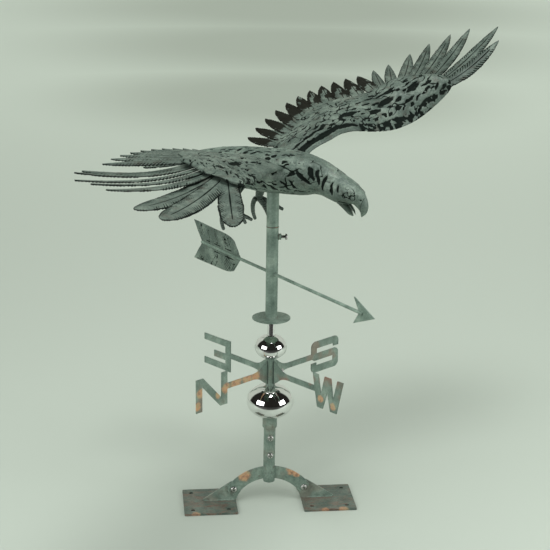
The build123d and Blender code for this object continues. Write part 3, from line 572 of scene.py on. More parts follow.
def body_skin(material):
    """Stamped body, neck and head as one skin with its hollows, grooves and face."""
    rings, outward, ahead, u, v = body_rings(420, 176)
    warp = np.stack([noise(rings, 16, 3), noise(rings, 9, 4), noise(rings, 4.5, 10)], -1) - 0.5
    wavy_u = u + 8 * warp[..., 0] + 3.5 * warp[..., 2]
    wavy_v = v + 6 * warp[..., 1] + 3.0 * warp[..., 2]
    along, up = head_place(rings)
    side = np.abs(rings[..., 1])
    face = smoothstep(-26, -8, along)
    pit = hollows(wavy_u, wavy_v, body_marks()) * (1 - face)
    curl_u, curl_v = u + 5 * warp[..., 1] + 2 * warp[..., 2], v + 4 * warp[..., 0] + 2 * warp[..., 2]
    pit = np.maximum(pit, hollows(curl_u, curl_v, BODY_STROKES))
    fine = noise(rings * [0.35, 1, 1], 3.2, 5)
    strand = noise(rings * [0.22, 1, 1], 2.2, 6)
    broken = smoothstep(0.46, 0.58, noise(rings, 13, 12))
    lines = scribble(rings * [0.45, 1, 1], 8, 0.05, 7) * (1 - face) * broken
    ruffle = scribble(rings, 4.6, 0.11, 8)
    around_eye = np.exp(-(((along - EYE_PLACE[0] + 9) / 13) ** 2 + ((up - EYE_PLACE[1] - 3) / 9) ** 2))
    cheek = ruffle * smoothstep(0.25, 0.5, around_eye)
    dark = np.maximum.reduce([pit, 0.9 * lines, 0.95 * cheek])
    lift = 0.9 * (fine - 0.5) + 0.7 * (strand - 0.5) * (1 - face) - 2.1 * pit - 0.9 * lines - 0.8 * cheek
    eye_gap = np.hypot(along - EYE_PLACE[0], up - EYE_PLACE[1])
    socket = np.exp(-((eye_gap - 3.2) / 1.5) ** 2)
    lid = np.exp(-((eye_gap - 5.6) / 1.2) ** 2)
    brow = np.exp(-(((up - 9.8 - 0.10 * (along - 14)) / 2.6) ** 2)) * smoothstep(0, 12, along) * smoothstep(32, 24, along)
    gape = np.exp(-(((up + 10.2 + 0.12 * (13 - along)) / 1.2) ** 2)) * smoothstep(-6, 4, along)
    jowl = np.exp(-(((along + 4) / 12) ** 2 + ((up + 8) / 7) ** 2))
    on_side = smoothstep(5, 9, side)
    lift += on_side * (-1.2 * socket + 1.0 * lid + 1.6 * brow - 1.3 * gape + 1.4 * jowl)
    dark = np.maximum(dark, on_side * np.maximum(0.9 * gape, 0.62 * socket))
    taper = smoothstep(0, 10, u) * smoothstep(u[-1, 0], u[-1, 0] - 3, u)
    rings += outward * (lift * taper)[..., None]
    rings = np.concatenate([shrunk(rings[0], 0.75, -4.0, ahead[0]), rings, shrunk(rings[-1], 0.8, 3.0, ahead[-1])])
    dark = np.concatenate([dark[:1], dark, dark[-1:]])
    points, faces = capped_rings(rings)
    dark = np.concatenate([dark.ravel(), [0.8, 0.3]])
    return make_piece("body_skin", turned(points, EAGLE_HEADING), faces, material, "eagle",
                      ("body_left_half", "body_right_half", "head_shell"), dark)


def shrunk(ring, share, shift, ahead):
    """A ring drawn in to its middle and moved along the body, to round off an end."""
    middle = ring.mean(0)
    return (middle + (ring - middle) * share + np.array([ahead[0], 0, ahead[1]]) * shift)[None]


def horn(name, outer, inner, widths, node, material, rows=110, columns=48, keel=0.25, groove=None):
    """A beak part: rings between an outer and an inner outline in the head's frame."""
    t = np.linspace(0, 1, rows)
    knots = np.linspace(0, 1, len(outer))
    top = curve(knots, np.array(outer, float), t)
    foot = curve(np.linspace(0, 1, len(inner)), np.array(inner, float), t)
    half_width = np.maximum(curve(np.linspace(0, 1, len(widths)), np.array(widths, float), t), 0.25)
    angles = np.linspace(0, 2 * math.pi, columns, endpoint=False)
    middle = (top + foot) / 2
    half = (top - foot) / 2
    rise = np.cos(angles)
    breadth = np.sin(angles)
    breadth = np.sign(breadth) * np.abs(breadth) ** (1 + keel * (rise > 0))
    along = middle[:, :1] + half[:, :1] * rise[None, :]
    up = middle[:, 1:] + half[:, 1:] * rise[None, :]
    side = half_width[:, None] * breadth[None, :]
    rings = from_head(along, up, side)
    dark = 0.35 * noise(rings, 5, 21)
    if groove is not None:
        sink, shade = groove(along, up, side)
        rings -= np.sign(side)[..., None] * sink[..., None] * np.array([0, 1.0, 0])
        dark = np.maximum(dark, shade)
    rings += (noise(rings, 2.4, 22) - 0.5)[..., None] * 0.35
    points, faces = capped_rings(rings)
    dark = np.concatenate([dark.ravel(), [0.2, 0.2]])
    return make_piece(name, turned(points, EAGLE_HEADING), faces, material, "eagle", (node,), dark)


def beak_groove(along, up, side):
    """Nostril and the edge of the cere on the upper beak."""
    wide = smoothstep(1.5, 4.0, np.abs(side))
    nostril = np.exp(-(((along - 29.5) / 2.2) ** 2 + ((up - 5.0) / 1.2) ** 2)) * wide
    cere = np.exp(-(((along - 33.2 + 0.12 * up) / 0.7) ** 2)) * wide
    return 1.5 * nostril + 0.45 * cere, np.maximum(nostril, 0.55 * cere)


def build_beak(material):
    horn("upper_beak_horn",
         ((20, 17.0), (26, 14.6), (31.5, 10.8), (36.5, 6.0), (40.5, 0.2), (42.7, -6.5), (42.0, -14.0), (37.9, -20.8)),
         ((13, -9.0), (19, -9.4), (25, -10.2), (30.5, -12.2), (33.4, -14.4), (35.0, -16.4), (36.2, -18.6),
          (37.3, -20.6)),
         (13.2, 11.4, 9.6, 8.2, 6.9, 5.4, 3.4, 0.8), "upper_beak", material, groove=beak_groove)
    horn("lower_beak_horn",
         ((2, -11.5), (8, -13.8), (14, -17.2), (19.5, -21.6), (24.1, -26.0)),
         ((-6, -20.5), (3, -22.6), (11, -25.6), (18.5, -27.6), (24.3, -26.8)),
         (11.5, 9.4, 7.2, 5.0, 1.2), "lower_beak", material)
    horn("tongue_blade",
         ((9, -11.6), (15, -13.2), (21, -16.4), (27.2, -21.6)),
         ((9, -13.4), (15, -15.4), (21, -18.9), (27.4, -22.4)),
         (3.2, 3.4, 2.8, 0.7), "tongue", material, rows=50, columns=24)


def build_eyes(material):
    """Each eye is a domed ball with a ringed iris and a sunken pupil."""
    points, _, edges = node_mesh(("eyes",), EAGLE_HEADING)
    everything, faces, dark = [], [], []
    for part in loose_parts(points, edges):
        middle = (part.min(0) + part.max(0)) / 2
        radius = (part.max(0) - part.min(0))[0] / 2
        side = np.sign(middle[1])
        tilt = np.linspace(0, math.pi, 30)[1:-1]
        spin = np.linspace(0, 2 * math.pi, 40, endpoint=False)
        off = np.sin(tilt)[:, None]
        pupil = smoothstep(0.36, 0.28, off) * (np.cos(tilt)[:, None] > 0)
        ring = np.exp(-((off - 0.62) / 0.07) ** 2)
        reach = radius * (1 - 0.16 * pupil - 0.05 * ring)
        x = reach * off * np.cos(spin)[None, :]
        z = reach * off * np.sin(spin)[None, :]
        y = side * reach * np.cos(tilt)[:, None] * np.ones_like(x)
        ball, ball_faces = capped_rings(middle + np.stack([x, y, z], -1))
        faces += [tuple(i + sum(map(len, everything)) for i in f) for f in ball_faces]
        everything.append(ball)
        shade = np.maximum(pupil, 0.7 * ring) * np.ones_like(x)
        dark.append(np.concatenate([shade.ravel(), [1.0, 0.0]]))
    make_piece("eye_domes", turned(np.concatenate(everything), EAGLE_HEADING), faces, material, "eagle",
               ("eyes",), np.concatenate(dark))


# ---------------------------------------------------------------- the bird: wings

def sheet_surface(node, side, rows, columns):
    """Upper face of a CAD wing sheet as a grid: rows along the span, columns along the chord."""
    points, faces, edges = node_mesh((node,), EAGLE_HEADING)
    tree = BVHTree.FromPolygons(points.tolist(), faces)
    reach = side * points[:, 1]
    spans = np.linspace(reach.min() + 0.4, reach.max() - 0.4, rows)
    shares = np.linspace(0.0, 1.0, columns)
    a, b = points[edges[:, 0]], points[edges[:, 1]]
    grid = np.zeros((rows, columns, 3))
    for r, span in enumerate(spans):
        y = side * span
        crossed = (a[:, 1] - y) * (b[:, 1] - y) < 0
        start, stop = a[crossed], b[crossed]
        share = (y - start[:, 1]) / (stop[:, 1] - start[:, 1])
        x = start[:, 0] + (stop[:, 0] - start[:, 0]) * share
        lead, trail = x.max() - 0.3, x.min() + 0.3
        for c, t in enumerate(shares):
            place = lead + (trail - lead) * t
            hit = tree.ray_cast(Vector((place, y, 900.0)), Vector((0, 0, -1)), 900.0)[0]
            grid[r, c] = hit if hit is not None else (place, y, grid[r, max(c - 1, 0), 2])
    return spans, shares, grid


def wing_marks(span_range, chord):
    """Hollows over a wing: staggered lenses, smaller strokes near the trailing edge."""
    low, high = span_range
    marks = scattered(31, (low + 25, high - 12), (22, chord * 0.72), 19, 9.5, (8, 19), (3.2, 6.8), 0.10, 0.88)
    marks += scattered(32, (low + 10, high - 8), (chord * 0.60, chord * 0.94), 17, 8.5, (7, 17), (2.2, 4.6), 0.24, 0.8)
    marks += scattered(33, (low + 110, high - 6), (8, 20), 14, 9, (6, 14), (3.0, 5.5), 0.5, 0.7)
    return marks


def broad_hollows(span_range):
    """The few broad lenses out on the hand of a wing."""
    low, high = span_range
    places = ((0.47, 38, 46, 14), (0.63, 30, 26, 9), (0.72, 40, 34, 13), (0.78, 57, 26, 8), (0.86, 36, 22, 9))
    return [(low + share * (high - low), v, length, width, 0.14) for share, v, length, width in places]


def wing_sheet(name, node, side, material, trough_share=1.0):
    """Embossed wing sheet: rolled rim, a long trough behind it, lens-shaped hollows, scalloped back edge."""
    rows, columns = 330, 118
    spans, shares, top = sheet_surface(node, side, rows, columns)
    chords = np.linalg.norm(top[:, -1] - top[:, 0], axis=1)
    u = np.repeat(spans[:, None], columns, 1)
    v = shares[None, :] * chords[:, None]
    warp = np.stack([noise(top, 15, 41), noise(top, 9, 42), noise(top, 4, 43)], -1) - 0.5
    wavy_u, wavy_v = u + 6 * warp[..., 0], v + 4 * warp[..., 1] + 2.2 * warp[..., 2]
    tip_fade = smoothstep(spans[-1] - 4, spans[-1] - 20, u)
    pit = hollows(wavy_u, wavy_v, wing_marks((spans[0], spans[-1]), chords.mean())) * tip_fade
    smooth_u, smooth_v = u + 5 * warp[..., 1], v + 3 * warp[..., 0] + 1.5 * warp[..., 2]
    pit = np.maximum(pit, hollows(smooth_u, smooth_v, broad_hollows((spans[0], spans[-1]))))
    inner = smoothstep(150, 128, u)
    inner *= trough_share
    ragged_v = v + 3 * warp[..., 1] + 2 * warp[..., 2]
    trough = inner * smoothstep(6.0, 8.5, ragged_v) * smoothstep(27, 20, ragged_v + 0.06 * u)
    second = inner * smoothstep(27, 29, wavy_v) * smoothstep(35, 32, wavy_v) * smoothstep(110, 90, u)
    beard = smoothstep(128, 150, u) * smoothstep(16, 6, v + 8 * warp[..., 0])
    beard *= smoothstep(0.42, 0.50, 0.55 * noise(top, 7, 44) + 0.45 * noise(top, 3, 47))
    wrinkle = scribble(top * [1.0, 0.42, 1.0], 9, 0.06, 45) * smoothstep(10, 20, v)
    fine = noise(top * [1.0, 0.4, 1.0], 2.6, 46)
    dark = np.maximum.reduce([pit, trough, 0.9 * second, 0.95 * beard, 0.8 * wrinkle])
    lift = 1.0 * (fine - 0.5) - 2.3 * pit - 3.2 * trough - 1.6 * second - 1.3 * beard - 0.8 * wrinkle
    rim = smoothstep(0, 2.5, v) * smoothstep(8, 4, v) * inner
    lift += 1.3 * rim
    edge_drop = 1.8 * smoothstep(3.0, 0.0, v) + 1.6 * smoothstep(3.5, 0.0, chords[:, None] - v)
    lift -= edge_drop
    scallop = 2.6 * np.abs(np.sin((u - 20) / 17.5 * math.pi / 1.35)) - 1.3
    back = smoothstep(0.80, 1.0, v / chords[:, None]) * smoothstep(spans[0], spans[0] + 25, u) * tip_fade
    top = top + np.array([-1.0, 0, 0]) * (scallop * back)[..., None]
    normal = np.cross(np.gradient(top, axis=0), np.gradient(top, axis=1))
    normal /= np.maximum(np.linalg.norm(normal, axis=2), 1e-9)[..., None]
    normal *= np.where(normal[..., 2:] < 0, -1.0, 1.0)
    upper = top + normal * lift[..., None]
    lower = upper - normal * 1.7
    points, faces = closed_sheet(upper, lower)
    # The lower face is painted darker, a quarter dark everywhere and more under the hollows: painted shade on the
    # underside of the sheet.
    shade = np.concatenate([dark.ravel(), (0.25 + 0.55 * dark).ravel()])
    return make_piece(name, turned(points, EAGLE_HEADING), faces, material, "eagle", (node,), shade)


# ---------------------------------------------------------------- the bird: feathers

def blade_frame(points):
    """Root, length direction, width direction, normal, length and width of a flat CAD blade."""
    middle = points.mean(0)
    _, _, axes = np.linalg.svd(points - middle, full_matrices=False)
    along = (points - middle) @ axes[0]
    across = (points - middle) @ axes[1]
    span = along.max() - along.min()
    low = np.abs(across[along < along.min() + 0.02 * span]).max()
    high = np.abs(across[along > along.max() - 0.02 * span]).max()
    if low < high:
        axes[0] *= -1
        along = -along
    root = points[along < along.min() + 0.02 * span].mean(0)
    tip = points[along > along.max() - 0.003 * span].mean(0)
    ahead = (tip - root) / np.linalg.norm(tip - root)
    normal = axes[2] - ahead * (axes[2] @ ahead)
    normal /= np.linalg.norm(normal)
    if normal[2] < 0:
        normal = -normal
    wide = np.cross(normal, ahead)
    return root, ahead, wide, normal, np.linalg.norm(tip - root), across.max() - across.min()


def feather_blade(points, seed, widths, tip, sag, sweep, swell, roll, rows, columns, fold, fill):
    """One pressed feather on a CAD blade: folded midrib, barb strokes, nicked edges, a sagging length.

    tip is the share of the length that rounds off, sag bows it down and sweep bows it forward in mm,
    swell widens it, roll lifts its front edge in degrees, and fill is how much of it is stained dark.
    """
    root, ahead, wide, normal, length, width = blade_frame(points)
    lean = math.radians(roll) * np.sign(wide[0])
    forward = wide * np.sign(wide[0])
    wide, normal = wide * math.cos(lean) + normal * math.sin(lean), normal * math.cos(lean) - wide * math.sin(lean)
    rng = np.random.default_rng(seed)
    t = np.linspace(0, 1, rows)
    s = np.linspace(-1, 1, columns)
    s = np.sign(s) * np.abs(s) ** 0.9
    half = 0.5 * width * swell * curve(np.linspace(0, 1, len(widths)), np.array(widths, float), t)
    half = np.maximum(half * np.sqrt(1 - np.clip((t - 1 + tip) / tip, 0, 1) ** 2), 0.3)
    nick = np.ones((rows, columns))
    for side in (-1, 1):
        for _ in range(3):
            place = rng.uniform(0.35, 0.9)
            deep = rng.uniform(0.04, 0.11)
            cut = deep * np.clip(1 - np.abs(t - place) * length / 1.8, 0, 1)
            nick -= cut[:, None] * (s[None, :] * side > 0)
    x = np.repeat((t * length)[:, None], columns, 1)
    ripple = noise(np.stack([t * length, t * 0 + seed, t * 0], -1), 9, seed)[:, None] - 0.5
    y = half[:, None] * s[None, :] * nick * (1 + 0.07 * ripple)
    away = np.abs(s)[None, :] * np.ones((rows, 1))
    flat = np.stack([x, y, np.full_like(x, float(seed))], -1)
    barb = (x - np.abs(y) * 0.9) / BARB_PITCH + 0.5 * noise(flat, 12, 50)
    cell = np.floor(barb).astype(np.int64)
    key = np.stack([cell, (s > 0)[None, :] + 0 * cell, np.full_like(cell, seed)], -1)
    start = 0.18 + 0.45 * hashed(key, 52)
    groove = smoothstep(0.20, 0.40, np.abs(barb - cell - 0.5))
    stroke = groove * (hashed(key, 51) > 0.15) * smoothstep(start, start + 0.15, away)
    stroke *= smoothstep(0.10, 0.26, t)[:, None]
    midrib = np.exp(-(y / 1.1) ** 2) * (smoothstep(0.03, 0.1, t) * smoothstep(0.95, 0.8, t))[:, None]
    worn = smoothstep(0.50, 0.66, noise(flat * [0.4, 1, 1], 8, 53))
    stained = fill * smoothstep(0.62 - 0.36 * fill, 0.74 - 0.36 * fill, noise(flat * [0.5, 1, 1], 7, 55))
    stained = stained * smoothstep(0.98, 0.74, away) * smoothstep(0.04, 0.34, t[:, None] + 0.2 * (worn - 0.5))
    # Dark line along each feather's edges: partly pressed edge marks, partly painted shadow where the feathers
    # overlap.
    edge_line_and_painted_shadow = smoothstep(0.80, 0.93, away) * (0.55 + 0.45 * worn)
    dark = np.maximum.reduce([stroke, midrib * (0.7 + 0.3 * worn), stained, 0.9 * edge_line_and_painted_shadow])
    z = -fold * away ** 1.3 * np.minimum(half, 12)[:, None] / 8
    z -= 0.8 * stroke + 0.9 * midrib
    z -= sag * np.sin(math.pi * t ** 0.85)[:, None]
    z += 0.35 * (noise(flat, 3.0, 54) - 0.5)
    thick = 1.15 * smoothstep(1.02, 0.8, away) + 0.45
    bow = sweep * np.sin(math.pi * t)[:, None, None] * forward

    def placed(height):
        return root + x[..., None] * ahead + y[..., None] * wide + height[..., None] * normal + bow

    sheet, faces = closed_sheet(placed(z + thick / 2), placed(z - thick / 2))
    # The lower face is painted at least a third dark: painted shade on the underside of each feather.
    return sheet, faces, np.concatenate([dark.ravel(), np.maximum(dark, 0.35).ravel()])


def feather_set(name, node, material, first_seed, widths, tip=0.05, sag=(0.0,), sweep=(0.0,), swell=(1.0,),
                roll=(0.0,), rows=200, columns=21, fold=1.2, fill=0.0):
    """All the feathers of one CAD node as one piece. The last of each list holds for the rest."""
    points, _, edges = node_mesh((node,), EAGLE_HEADING)
    parts = sorted(loose_parts(points, edges), key=lambda part: -part[:, 0].min())
    everything, faces, dark, count = [], [], [], 0
    for i, part in enumerate(parts):
        own = [values[min(i, len(values) - 1)] for values in (sag, sweep, swell, roll)]
        sheet, sheet_faces, shade = feather_blade(part, first_seed + i, widths, tip, *own, rows, columns, fold, fill)
        everything.append(sheet)
        faces += [tuple(k + count for k in face) for face in sheet_faces]
        dark.append(shade)
        count += len(sheet)
    return make_piece(name, turned(np.concatenate(everything), EAGLE_HEADING), faces, material, "eagle",
                      (node,), np.concatenate(dark))


BARB_PITCH = 5.2
POINTED = (0.34, 0.60, 0.86, 1.0, 1.0, 0.86, 0.58, 0.14)
ROUNDED = (0.72, 0.84, 0.93, 1.0, 1.02, 0.96, 0.84, 0.70)
LEAF = (0.62, 0.86, 1.02, 1.06, 0.98, 0.80, 0.54, 0.20)
FAN = (0.5, 0.72, 0.9, 1.0, 1.02, 0.98, 0.86, 0.6)


def build_feathers(material, brown_material):
    feather_set("left_primary_feathers", "left_primaries", material, 0, POINTED, sag=(5.5,),
                sweep=(6.0, 4.0, 3.0), swell=(0.72, 0.74, 0.76, 0.80))
    feather_set("right_primary_feathers", "right_primaries", material, 20, ROUNDED, tip=0.2, fold=0.8,
                sag=(4.0, 8.0, 9.0, 10.0), swell=(1.0, 1.26, 1.22, 0.95, 0.88),
                roll=(0.0, 0.0, 3.0, 16.0, 19.0, 20.0, 20.0, 14.0))
    feather_set("left_secondary_feathers", "left_secondaries", brown_material, 40, LEAF, tip=0.12, sag=(-1.0,),
                swell=(1.04,), rows=110, fold=1.9, fill=0.85)
    feather_set("right_secondary_feathers", "right_secondaries", material, 60, LEAF, tip=0.12, sag=(-1.0,),
                swell=(1.0,), rows=110, fold=1.9, fill=0.15)
    feather_set("tail_fan", "tail_feathers", material, 80, FAN, tip=0.14, sag=(1.0,), swell=(1.05,), rows=140,
                columns=19)


# ---------------------------------------------------------------- the bird: legs

def cast_foot(name, leg, toes, material):
    """Shank and toes cast in one: the CAD solids melted together, then scaled and clawed."""
    bm = bmesh.new()
    for node in (leg, toes):
        bm.from_mesh(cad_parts[node].data)
    mesh = bpy.data.meshes.new(name)
    bm.to_mesh(mesh)
    bm.free()
    lump = bpy.data.objects.new(name + "_lump", mesh)
    bpy.context.scene.collection.objects.link(lump)
    melt = lump.modifiers.new("melt", "REMESH")
    melt.mode = "VOXEL"
    melt.voxel_size = 0.75 * MM
    soften = lump.modifiers.new("soften", "SMOOTH")
    soften.factor = 0.6
    soften.iterations = 5
    shaped = bpy.data.meshes.new_from_object(lump.evaluated_get(bpy.context.evaluated_depsgraph_get()))
    points = np.array([v.co for v in shaped.vertices]) / MM
    normals = np.array([v.normal for v in shaped.vertices])
    faces = [tuple(p.vertices) for p in shaped.polygons]
    bpy.data.objects.remove(lump)
    low, high = points[:, 2].min(), points[:, 2].max()
    scales = np.sin(points[:, 2] * 2 * math.pi / 2.9 + 3 * noise(points, 6, 71))
    plume = noise(points * [1, 1, 0.35], 3.0, 72)
    shank = smoothstep(low + 0.62 * (high - low), low + 0.75 * (high - low), points[:, 2])
    toe = 1 - shank
    dark = toe * np.maximum(smoothstep(0.3, 0.9, scales) * 0.5, 0.15) + shank * smoothstep(0.56, 0.66, plume)
    lift = toe * (1.3 - 0.25 * (scales > 0.2)) + shank * 1.4 * (plume - 0.6) + 0.4 * (noise(points, 2.2, 73) - 0.5)
    points = points + normals * lift[:, None]
    return make_piece(name, points, faces, material, "eagle", (leg, toes), dark)


# ---------------------------------------------------------------- the arrow

def fletching(material):
    """Both vanes of the fletching, pressed with slanted barbs and a raised line by the shaft."""
    points, faces, edges = node_mesh(("arrow_fletching",), ARROW_HEADING)
    tree = BVHTree.FromPolygons(points.tolist(), faces)
    low, high = points.min(0), points.max(0)
    middle_z = (low[2] + high[2]) / 2
    everything, all_faces, dark, count = [], [], [], 0
    rows, columns = 190, 46
    for side in (-1, 1):
        part = points[side * (points[:, 2] - middle_z) > 0]
        gap = np.abs(part[:, 2] - middle_z).min()
        inner = part[np.abs(np.abs(part[:, 2] - middle_z) - gap) < 0.3]
        tip = part[np.argmin(part[:, 0])]
        tail, front = inner[:, 0].min(), inner[:, 0].max()
        lean = np.array([tip[0] - tail, 0.0, tip[2] - middle_z - side * gap])
        lean /= np.linalg.norm(lean)
        bases = np.linspace(tail + 0.2, front - 0.4, rows)
        top = np.zeros((rows, columns, 3))
        for r, x in enumerate(bases):
            base = np.array([x, 0.0, middle_z + side * (gap + 0.1)])
            hit = tree.ray_cast(Vector(base + lean * 80), Vector(-lean), 79.5)[0]
            reach = np.linalg.norm(np.array(hit) - base) - 0.15 if hit is not None else 0.2
            top[r] = base + lean * (reach * np.linspace(0, 1, columns)[:, None])
        run = np.repeat((bases - tail)[:, None], columns, 1)
        height = np.abs(top[..., 2] - middle_z) - gap
        beat = run / 4.6 + 0.35 * noise(top, 14, 81)
        phase = np.abs(beat - np.floor(beat) - 0.5)
        valley = smoothstep(0.26, 0.5, phase)
        cell = np.floor(beat + 0.5).astype(np.int64)
        luck = hashed(np.stack([cell, cell * 0 + side + 2, cell * 0], -1), 82)
        start = 7 + 9 * luck
        barb = valley * smoothstep(2.0, 5.0, height) * (0.45 + 0.55 * (luck > 0.4))
        stain = smoothstep(0.48, 0.66, noise(top * [0.8, 1, 0.5], 9, 83))
        rim = smoothstep(5.2, 4.4, height) * smoothstep(2.6, 3.4, height)
        shade = np.maximum(barb * (0.35 + 0.65 * stain) * smoothstep(2, start, height), 0.75 * rim * stain)
        shade = np.maximum(shade, 0.55 * stain * smoothstep(0.5, 0.9, noise(top, 3, 84)))
        relief = 0.28 - 0.55 * barb - 0.5 * rim + 0.3 * (noise(top, 3, 85) - 0.5)
        edge = smoothstep(0.0, 0.06, np.linspace(0, 1, columns))[None, :] * smoothstep(1.0, 0.96, np.linspace(0, 1, columns))[None, :]
        thick = 0.75 + relief * edge
        over = top + np.array([0, 1.0, 0]) * thick[..., None]
        under = top - np.array([0, 1.0, 0]) * thick[..., None]
        sheet, sheet_faces = closed_sheet(over, under)
        everything.append(sheet)
        all_faces += [tuple(k + count for k in face) for face in sheet_faces]
        dark += [shade.ravel(), shade.ravel()]
        count += len(sheet)
    return make_piece("fletching_vanes", turned(np.concatenate(everything), ARROW_HEADING), all_faces, material,
                      "vane", ("arrow_fletching",), np.concatenate(dark))


# ---------------------------------------------------------------- welds

def weld_bead(name, path, radius, material, body, closed=False, seed=0):
    """A rippled bead of weld along a path of points in mm."""
    path = np.asarray(path, float)
    steps = np.diff(np.concatenate([path, path[:1]]) if closed else path, axis=0)
    reach = np.concatenate([[0], np.cumsum(np.linalg.norm(steps, axis=1))])
    count = max(int(reach[-1] / 0.45), 12)
    at = np.linspace(0, reach[-1], count, endpoint=not closed)
    whole = np.concatenate([path, path[:1]]) if closed else path
    line = np.stack([np.interp(at, reach, whole[:, k]) for k in range(3)], -1)
    ahead = np.roll(line, -1, 0) - np.roll(line, 1, 0) if closed else np.gradient(line, axis=0)
    ahead /= np.linalg.norm(ahead, axis=1)[:, None]
    guide = np.where(np.abs(ahead[:, 2:]) < 0.9, np.array([[0, 0, 1.0]]), np.array([[1.0, 0, 0]]))
    first = np.cross(ahead, guide)
    first /= np.linalg.norm(first, axis=1)[:, None]
    second = np.cross(ahead, first)
    spin = np.linspace(0, 2 * math.pi, 14, endpoint=False)
    ripple = 1 + 0.10 * np.sin(at / radius * 3.2)
    ripple += 0.5 * (noise(np.stack([at, at * 0 + seed, at * 0], -1), 5.0, 91) - 0.5)
    if not closed:
        ripple *= np.sqrt(np.clip(np.minimum(at, reach[-1] - at) / radius, 0.05, 1))
    size = radius * ripple
    rings = line[:, None] + size[:, None, None] * (
        np.cos(spin)[None, :, None] * first[:, None] + np.sin(spin)[None, :, None] * second[:, None])
    if closed:
        rows, columns = rings.shape[:2]
        points = rings.reshape(-1, 3)
        faces = grid_faces(rows, columns, closed=True)
        last = (rows - 1) * columns
        faces += [(last + c, last + (c + 1) % columns, (c + 1) % columns, c) for c in range(columns)]
    else:
        points, faces = capped_rings(rings)
    return make_piece(name, points, faces, material, body)


def ring_path(radius, z, centre=(0.0, 0.0), count=48):
    a = np.linspace(0, 2 * math.pi, count, endpoint=False)
    return np.stack([centre[0] + radius * np.cos(a), centre[1] + radius * np.sin(a), a * 0 + z], -1)


def build_welds(steel, tube_paint):
    low, high = box_mm(("socket_tube",), 0)
    tube_r = high[0]
    arch_low, arch_high = box_mm(("arch_plate",), 0)
    face_y = arch_high[1]
    for i, y in enumerate((-face_y, face_y)):
        for j, x in enumerate((-tube_r, tube_r)):
            foot = arch_high[2] - 20
            x_near = x * 0.97
            path = [(x_near, y, z) for z in np.linspace(foot + 2, arch_high[2] - 1.5, 8)]
            weld_bead(f"arch_weld_{i}_{j}", path, 1.3, steel, "roof_mount", seed=i + 2 * j)
    for side, body in (("left", "left_foot"), ("right", "right_foot")):
        lug_low, lug_high = box_mm((f"{side}_foot_lug",), 0)
        plate_low, plate_high = box_mm((f"{side}_foot_plate",), 0)
        start, stop = max(lug_low[0], plate_low[0]) + 2, min(lug_high[0], plate_high[0]) - 2
        for k, y in enumerate((lug_low[1], lug_high[1])):
            path = [(x, y, lug_low[2] + 0.1) for x in np.linspace(start, stop, 10)]
            weld_bead(f"{side}_lug_weld_{k}", path, 1.25, steel, body, seed=k)
    hub_low, hub_high = box_mm(("hub_tube",), 0)
    hub_r = hub_high[0]
    for quarter in range(4):
        for k, lean in enumerate((-9, 9)):
            a = math.radians(COMPASS_SOUTH_HEADING + 90 * quarter + lean)
            spot = ((hub_r + 0.1) * math.cos(a), (hub_r + 0.1) * math.sin(a))
            path = [(*spot, z) for z in np.linspace(hub_low[2] + 3, hub_high[2] - 3, 10)]
            weld_bead(f"hub_weld_{quarter}_{k}", path, 0.95, tube_paint, "compass", seed=quarter)
    vane_low, vane_high = box_mm(("vane_tube",), 0)
    weld_bead("disc_weld", ring_path(vane_high[0] + 0.2, vane_low[2] + 0.4), 0.9, steel, "vane",
              closed=True, seed=5)
    shaft_low, shaft_high = box_mm(("arrow_shaft",), ARROW_HEADING)
    shaft_r = shaft_high[1]
    shaft_z = (shaft_low[2] + shaft_high[2]) / 2
    a = np.linspace(0, 2 * math.pi, 24, endpoint=False)
    for side in (-1, 1):
        collar = np.stack([side * np.sqrt(vane_high[0] ** 2 - (shaft_r * np.cos(a)) ** 2),
                           (shaft_r + 0.4) * np.cos(a), shaft_z + (shaft_r + 0.4) * np.sin(a)], -1)
        weld_bead(f"shaft_weld_{(side + 1) // 2}", turned(collar, ARROW_HEADING), 1.0, steel, "vane",
                  closed=True, seed=7)
    nuts = [("socket_nuts", 0, "roof_mount", -90), ("hub_nut", 0, "compass", SIDE_SCREW_HEADING),
            ("post_nut", 0, "vane", SIDE_SCREW_HEADING)]
    for node, _, body, heading in nuts:
        points, _, edges = node_mesh((node,), heading)
        for k, part in enumerate(loose_parts(points, edges)):
            centre_z = (part[:, 2].min() + part[:, 2].max()) / 2
            reach = (part[:, 2].max() - part[:, 2].min()) / 2
            ring = np.stack([a * 0 + part[:, 0].min() + 0.2, (reach + 0.1) * np.cos(a),
                             centre_z + (reach + 0.1) * np.sin(a)], -1)
            weld_bead(f"{node}_weld_{k}", turned(ring, heading), 0.8, steel, body,
                      closed=True, seed=k)


# ---------------------------------------------------------------- finishes of the CAD pieces

def paint(nodes, material):
    for name in nodes:
        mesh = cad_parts[name].data
        if not mesh.materials:
            mesh.materials.append(material)
        for i in range(len(mesh.materials)):
            mesh.materials[i] = material


def along_arm(heading, reach, z):
    a = math.radians(heading)
    return (reach * math.cos(a), reach * math.sin(a), z)


# ---------------------------------------------------------------- studio

CAMERA_PLACE = Vector((-0.2214, -1.9853, 0.9943))
CAMERA_RIGHT = Vector((0.9940, -0.1088, 0.0148))
CAMERA_UP = Vector((0.0175, 0.2899, 0.9569))
CAMERA_LENS = 87.28


def ahead_of_camera():
    """Level direction from the camera's side of the object to its far side."""
    return Vector((-CAMERA_PLACE.x, -CAMERA_PLACE.y, 0)).normalized()


